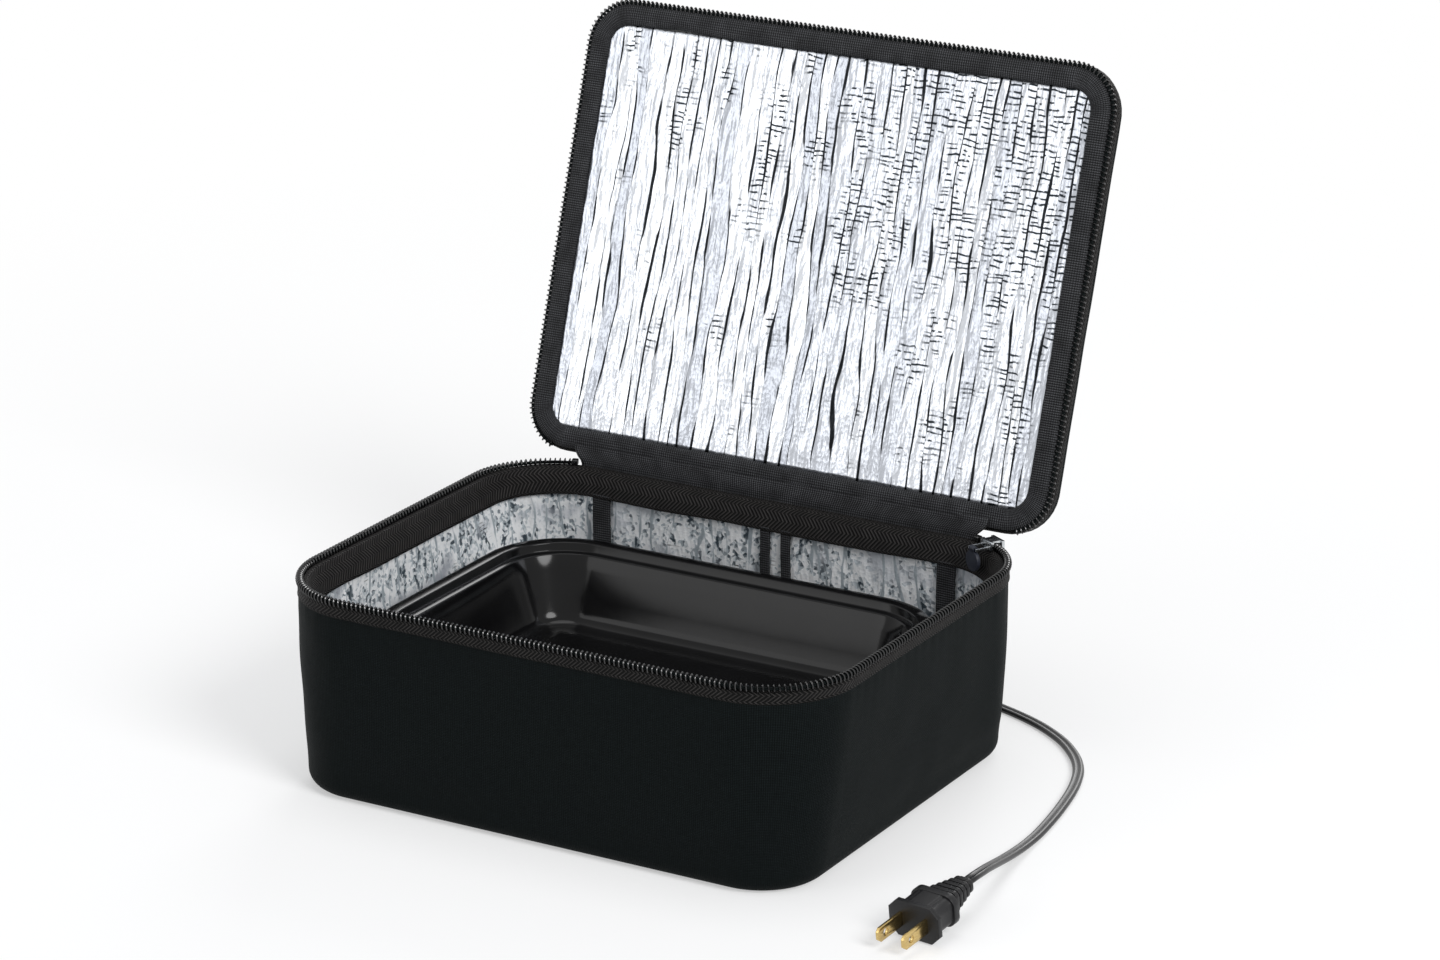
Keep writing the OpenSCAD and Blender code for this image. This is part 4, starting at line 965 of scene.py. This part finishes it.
def hinge_place(u, y, z):
    x = (205 + 10 * held((z - 93) / 5)) * (u - 0.5)
    beyond = max(abs(x) - 94, 0)
    y -= (RIM_CORNER - (RIM_CORNER ** 2 - beyond ** 2) ** 0.5) * held((99 - z) / 4)
    return (x, y + 0.15 * noise.noise(Vector((u * 12, z * 0.2, 2))), z)


hinge_flap = formed("hinge_flap", 100, hinge_rows, hinge_place, (210, 18), ribbed_tape)
apply_modifier(hinge_flap, "SOLIDIFY", thickness=0.9 * MM, offset=0)
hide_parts("hinge_strip")
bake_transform(hinge_flap)

# ------------------------ carry handle
# Black nylon webbing across the outside of the lid, bowed up for the fingers. Both ends are
# sewn down with a box and cross of thick thread.

# Nylon webbing with ribs 1.6 mm apart, a painted highlight on their crowns and painted shade between
web_finish = band_finish("black_nylon_webbing", 1.6, "#0a0a0b", "#3b3c3e", rough=0.55, shine=0.12)
handle_half, handle_foot, handle_rise, handle_lies, spread = 70, 22, 19.8, 0.95, 72
bow = handle_half - handle_foot
arc = (bow * bow + handle_rise ** 2) / (2 * handle_rise)
arc_mid = arc - 0.9
handle_line = [(x, handle_lies) for x in range(-handle_half, -bow, 4)]
for k in range(spread + 1):
    x = -bow + 2 * bow * k / spread
    handle_line.append((x, max(handle_rise - arc + (arc_mid ** 2 - x * x) ** 0.5, handle_lies)))
handle_line += [(x, handle_lies) for x in range(handle_half, bow, -4)][::-1]
handle_path = [on_lid(x, 0, -14 - rise) for x, rise in handle_line]
webbing = swept("webbing_handle", handle_path, flat_section(25, 1.8, 0.7), web_finish,
                level=on_lid(0, 0, -1) - on_lid(0, 0, 0), angle=50)
stands_for(webbing, "lid", "webbing", "carry_handle")

# Bonded polyester thread: black with a waxy shine
bonded_thread = grained("bonded_black_thread", "#141415", "#333335", 0.8, 0.01, rough=0.4, shine=0.3)
stitch_pitch, thread_radius = 2.6, 0.36
facing = (on_lid(0, 0, -1) - on_lid(0, 0, 0)).normalized()
seams, corners, faces = [], [], []
for side in (-1, 1):
    near, far = side * (bow + 3), side * (handle_half - 3)
    box = [(near, -10), (far, -10), (far, 10), (near, 10), (near, -10)]
    seams += [*zip(box, box[1:]), ((near, -10), (far, 10)), ((near, 10), (far, -10))]
for begin, end in seams:
    p, q = on_lid(*begin, -16), on_lid(*end, -16)
    count = max(1, floor((q - p).length / stitch_pitch))
    way = (q - p).normalized()
    side = way.cross(facing).normalized()
    for k in range(count):
        middle = p + (q - p) * (k + 0.5) / count
        start = len(corners)
        for t, swell in ((-0.5, 0.25), (-0.38, 0.8), (0, 1), (0.38, 0.8), (0.5, 0.25)):
            for a in range(0, 360, 60):
                around = side * cos(radians(a)) + facing * sin(radians(a))
                corners.append(middle + way * t * stitch_pitch * 0.78 + around * thread_radius * swell)
        for m in range(start, start + 24, 6):
            faces += [(m + i, m + (i + 1) % 6, m + 6 + (i + 1) % 6, m + 6 + i) for i in range(6)]
        faces += [tuple(range(start + 5, start - 1, -1)), tuple(range(start + 24, start + 30))]
handle_thread = built("handle_stitches", corners, faces, bonded_thread)
face_outwards(handle_thread)
smooth_shaded(handle_thread, 60)
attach(handle_thread, "lid")

# ------------------------ zip slider and pull
# A die-cast slider with a bright plated finish, and a round tab of navy rubber moulded over a
# steel eye on its bail.

# Nickel-chrome plate on cast zinc: mirror-like, with faint handling marks
plated_zinc, tree, shader = new_finish("plated_zinc", metal=1.0, rough=0.14)
spot = add_node(tree, "TexCoord").outputs["Object"]
marks = add_node(tree, "TexNoise", {"Vector": spot, "Scale": 1 / (2.38 * MM), "Detail": 3.0})
surface_detail(tree, shader, "#a9adb0", "#dfe2e4", marks, marks, 0.02)
rough = add_node(tree, "MapRange", {"Value": marks, "To Min": 0.08, "To Max": 0.3})
tree.links.new(rough.outputs[0], shader.inputs["Roughness"])
softened("slider_body", "zip_slider", 0.3, plated_zinc, "slider", "slider_metal")
# Silicone rubber: soft navy black, satin, with a fine moulded grain
navy_rubber = grained("navy_silicone_rubber", "#20232d", "#30343f", 0.45, 0.02, rough=0.5, shine=0.3)
softened("rubber_pull", "pull_tab", 0.4, navy_rubber, "pull", "pull_rubber")

# ------------------------ heating unit, housing
# A shallow tray moulded in dark glass-filled nylon, on four corner feet, with a raised glossy
# lip round the metal plate. A screwed cover closes it below.

# Glass-filled nylon, spark-eroded: navy black with fine pale specks of fibre
speckled_nylon, tree, shader = new_finish("speckled_glass_nylon", rough=0.4, shine=0.3)
spot = add_node(tree, "TexCoord").outputs["Object"]
grain = add_node(tree, "TexNoise", {"Vector": spot, "Scale": 1 / (0.667 * MM), "Detail": 2.0})
specks = add_node(tree, "MapRange", {"Value": grain, "From Min": 0.55, "From Max": 0.72})
surface_detail(tree, shader, "#191a23", "#4b4d60", specks, grain, 0.06)
softened("plate_housing_shell", "plate_housing", 0.5, speckled_nylon, "heating_unit",
         "housing_plastic")
textured_nylon = grained("textured_nylon_cover", "#14151c", "#2a2b35", 0.6, 0.04, rough=0.6)
softened("plate_cover", "bottom_cover", 0.3, textured_nylon, "heating_unit", "cover_plastic")

# ------------------------ heating plate
# A pressed aluminium plate with a hard dark coating, satin and slightly uneven, which shows
# soft broad reflections.

coated_plate, tree, shader = new_finish("dark_coated_aluminium", metal=0.85, rough=0.3)
spot = add_node(tree, "TexCoord").outputs["Object"]
clouds = add_node(tree, "TexNoise", {"Vector": spot, "Scale": 1 / (111 * MM), "Detail": 3.0})
pores = add_node(tree, "TexNoise", {"Vector": spot, "Scale": 1 / (0.714 * MM), "Detail": 1.0})
surface_detail(tree, shader, "#3d4648", "#59646a", clouds, pores, 0.01)
rough = add_node(tree, "MapRange", {"Value": clouds, "To Min": 0.24, "To Max": 0.42})
tree.links.new(rough.outputs[0], shader.inputs["Roughness"])
softened("coated_plate", "heating_plate", 0.25, coated_plate, "heating_unit", "plate_metal")

# ------------------------ heating unit, inside
# Under the plate: an etched resistance track, a felt pad, a snap-action thermostat, a thermal
# fuse and a ceramic terminal block, with screws, foot pads and the cord's boot.

for node, name, dark, light, grain, depth, rough, metal in (
        # Etched nickel-brass foil: warm and dull
        ("heating_element", "etched_track_foil", "#8d5c22", "#c48a45", 1.5, 0.02, 0.4, 1),
        # Ceramic fibre felt: off-white and fluffy
        ("insulation_pad", "ceramic_fibre_felt", "#cfc9ba", "#eeeae0", 1.0, 0.3, 0.95, 0),
        # Drawn aluminium cap: bright, with faint rings
        ("thermostat", "drawn_aluminium_cap", "#a9a59e", "#dad7d0", 0.8, 0.01, 0.35, 1),
        # Brass tube with soldered ends
        ("thermal_fuse", "drawn_brass_tube", "#a97f34", "#d9b76c", 0.8, 0.01, 0.3, 1),
        # Steatite: cream, dry-pressed, slightly rough
        ("terminal_block", "pressed_steatite", "#c9c3b0", "#e6e1d2", 0.5, 0.04, 0.7, 0),
        # Silicone insulation on the two cores
        ("lead_wires", "silicone_insulation", "#262627", "#3a3a3c", 0.7, 0.01, 0.45, 0),
        # Zinc-plated steel screws
        ("cover_screws", "zinc_plated_steel", "#8f9293", "#bcbfc0", 0.5, 0.01, 0.35, 1),
        # Silicone rubber pads, matt black
        ("foot_pads", "matt_foot_rubber", "#0d0d0e", "#202021", 0.6, 0.03, 0.75, 0)):
    finish_node(node, grained(name, dark, light, grain, depth, rough=rough, metal=metal))

softened("cord_boot_moulding", "cord_boot", 0.3, soft_pvc, "heating_unit", "soft_rubber")

# ------------------------ inner lead
# The short stretch of the flat cord between the grommet and the heating unit.

lead = swept("inner_lead_cord", curve_through([(5, 92, 23.2), (5, 93.6, 23.2), (5, 94.95, 22.3),
                                               (5, 95.45, 20.6), (5, 95.45, 16.6), (5, 95.95, 14.9),
                                               (5, 97.3, 14), (5, 98.9, 14)], 0.7),
             two_core_section, cord_pvc, level=(0, -1, 0.001))
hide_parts("inner_lead")
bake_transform(lead)

# ------------------------ food container
# A tray of black polypropylene, injection moulded: a flange with a turned-down edge, a step for
# a cover, and tapered walls that round into the bottom.

TRAY_WIDE, TRAY_DEEP, TRAY_CORNER, TRAY_TOP = 222, 156, 38, 67.3
bpy.ops.object.select_all(action="DESELECT")
bpy.ops.mesh.primitive_plane_add(size=1, location=(0, 0, TRAY_TOP * MM))
tray = bpy.context.object
tray.name = tray.data.name = "food_tray"
tray.scale = (TRAY_WIDE * MM, TRAY_DEEP * MM, 1)
bpy.ops.object.transform_apply(location=True, scale=True)
bpy.ops.object.mode_set(mode="EDIT")
bpy.ops.mesh.select_all(action="SELECT")
bpy.ops.mesh.bevel(offset=TRAY_CORNER * MM, segments=18, affect="VERTICES")
bpy.ops.mesh.inset(thickness=0.01 * MM)
for inset, drop in ((5.4, 0), (0.35, 0.12), (0.2, 0.35), (0.3, 3.0), (0.2, 0.3), (0.4, 0.15),
                    (3.0, 0), (0.4, 0.15), (0.25, 0.35), (2.2, 6.0), (2.2, 6.0), (2.2, 6.0),
                    (2.2, 6.0), (0.9, 2.0), (1.0, 1.4), (1.3, 1.0), (1.6, 0.5), (1.2, 0.12),
                    (9.0, 0), (0.8, -0.35), (0.8, -0.15)):
    bpy.ops.mesh.inset(thickness=inset * MM)
    bpy.ops.transform.translate(value=(0, 0, -drop * MM))
bpy.ops.mesh.select_all(action="DESELECT")
bpy.ops.mesh.select_mode(type="EDGE")
bpy.ops.mesh.select_non_manifold(extend=False)
for drop in (0.3, 2.9):
    bpy.ops.mesh.extrude_region_move(TRANSFORM_OT_translate={"value": (0, 0, -drop * MM)})
bpy.ops.mesh.select_mode(type="VERT")
bpy.ops.object.mode_set(mode="OBJECT")
apply_modifier(tray, "SOLIDIFY", thickness=1.1 * MM, offset=-1, use_even_offset=True)
apply_modifier(tray, "BEVEL", width=0.35 * MM, segments=2, limit_method="ANGLE",
               angle_limit=radians(50))
smooth_shaded(tray, 45)
# Polypropylene from a polished mould: black and glossy, with a very faint flow pattern
polished_pp = grained("polished_black_pp", "#050506", "#0b0b0c", 14.0, 0.02, rough=0.13, shine=0.2)
tray.data.materials.append(polished_pp)
stands_for(tray, "food_container", "container_plastic", "container")
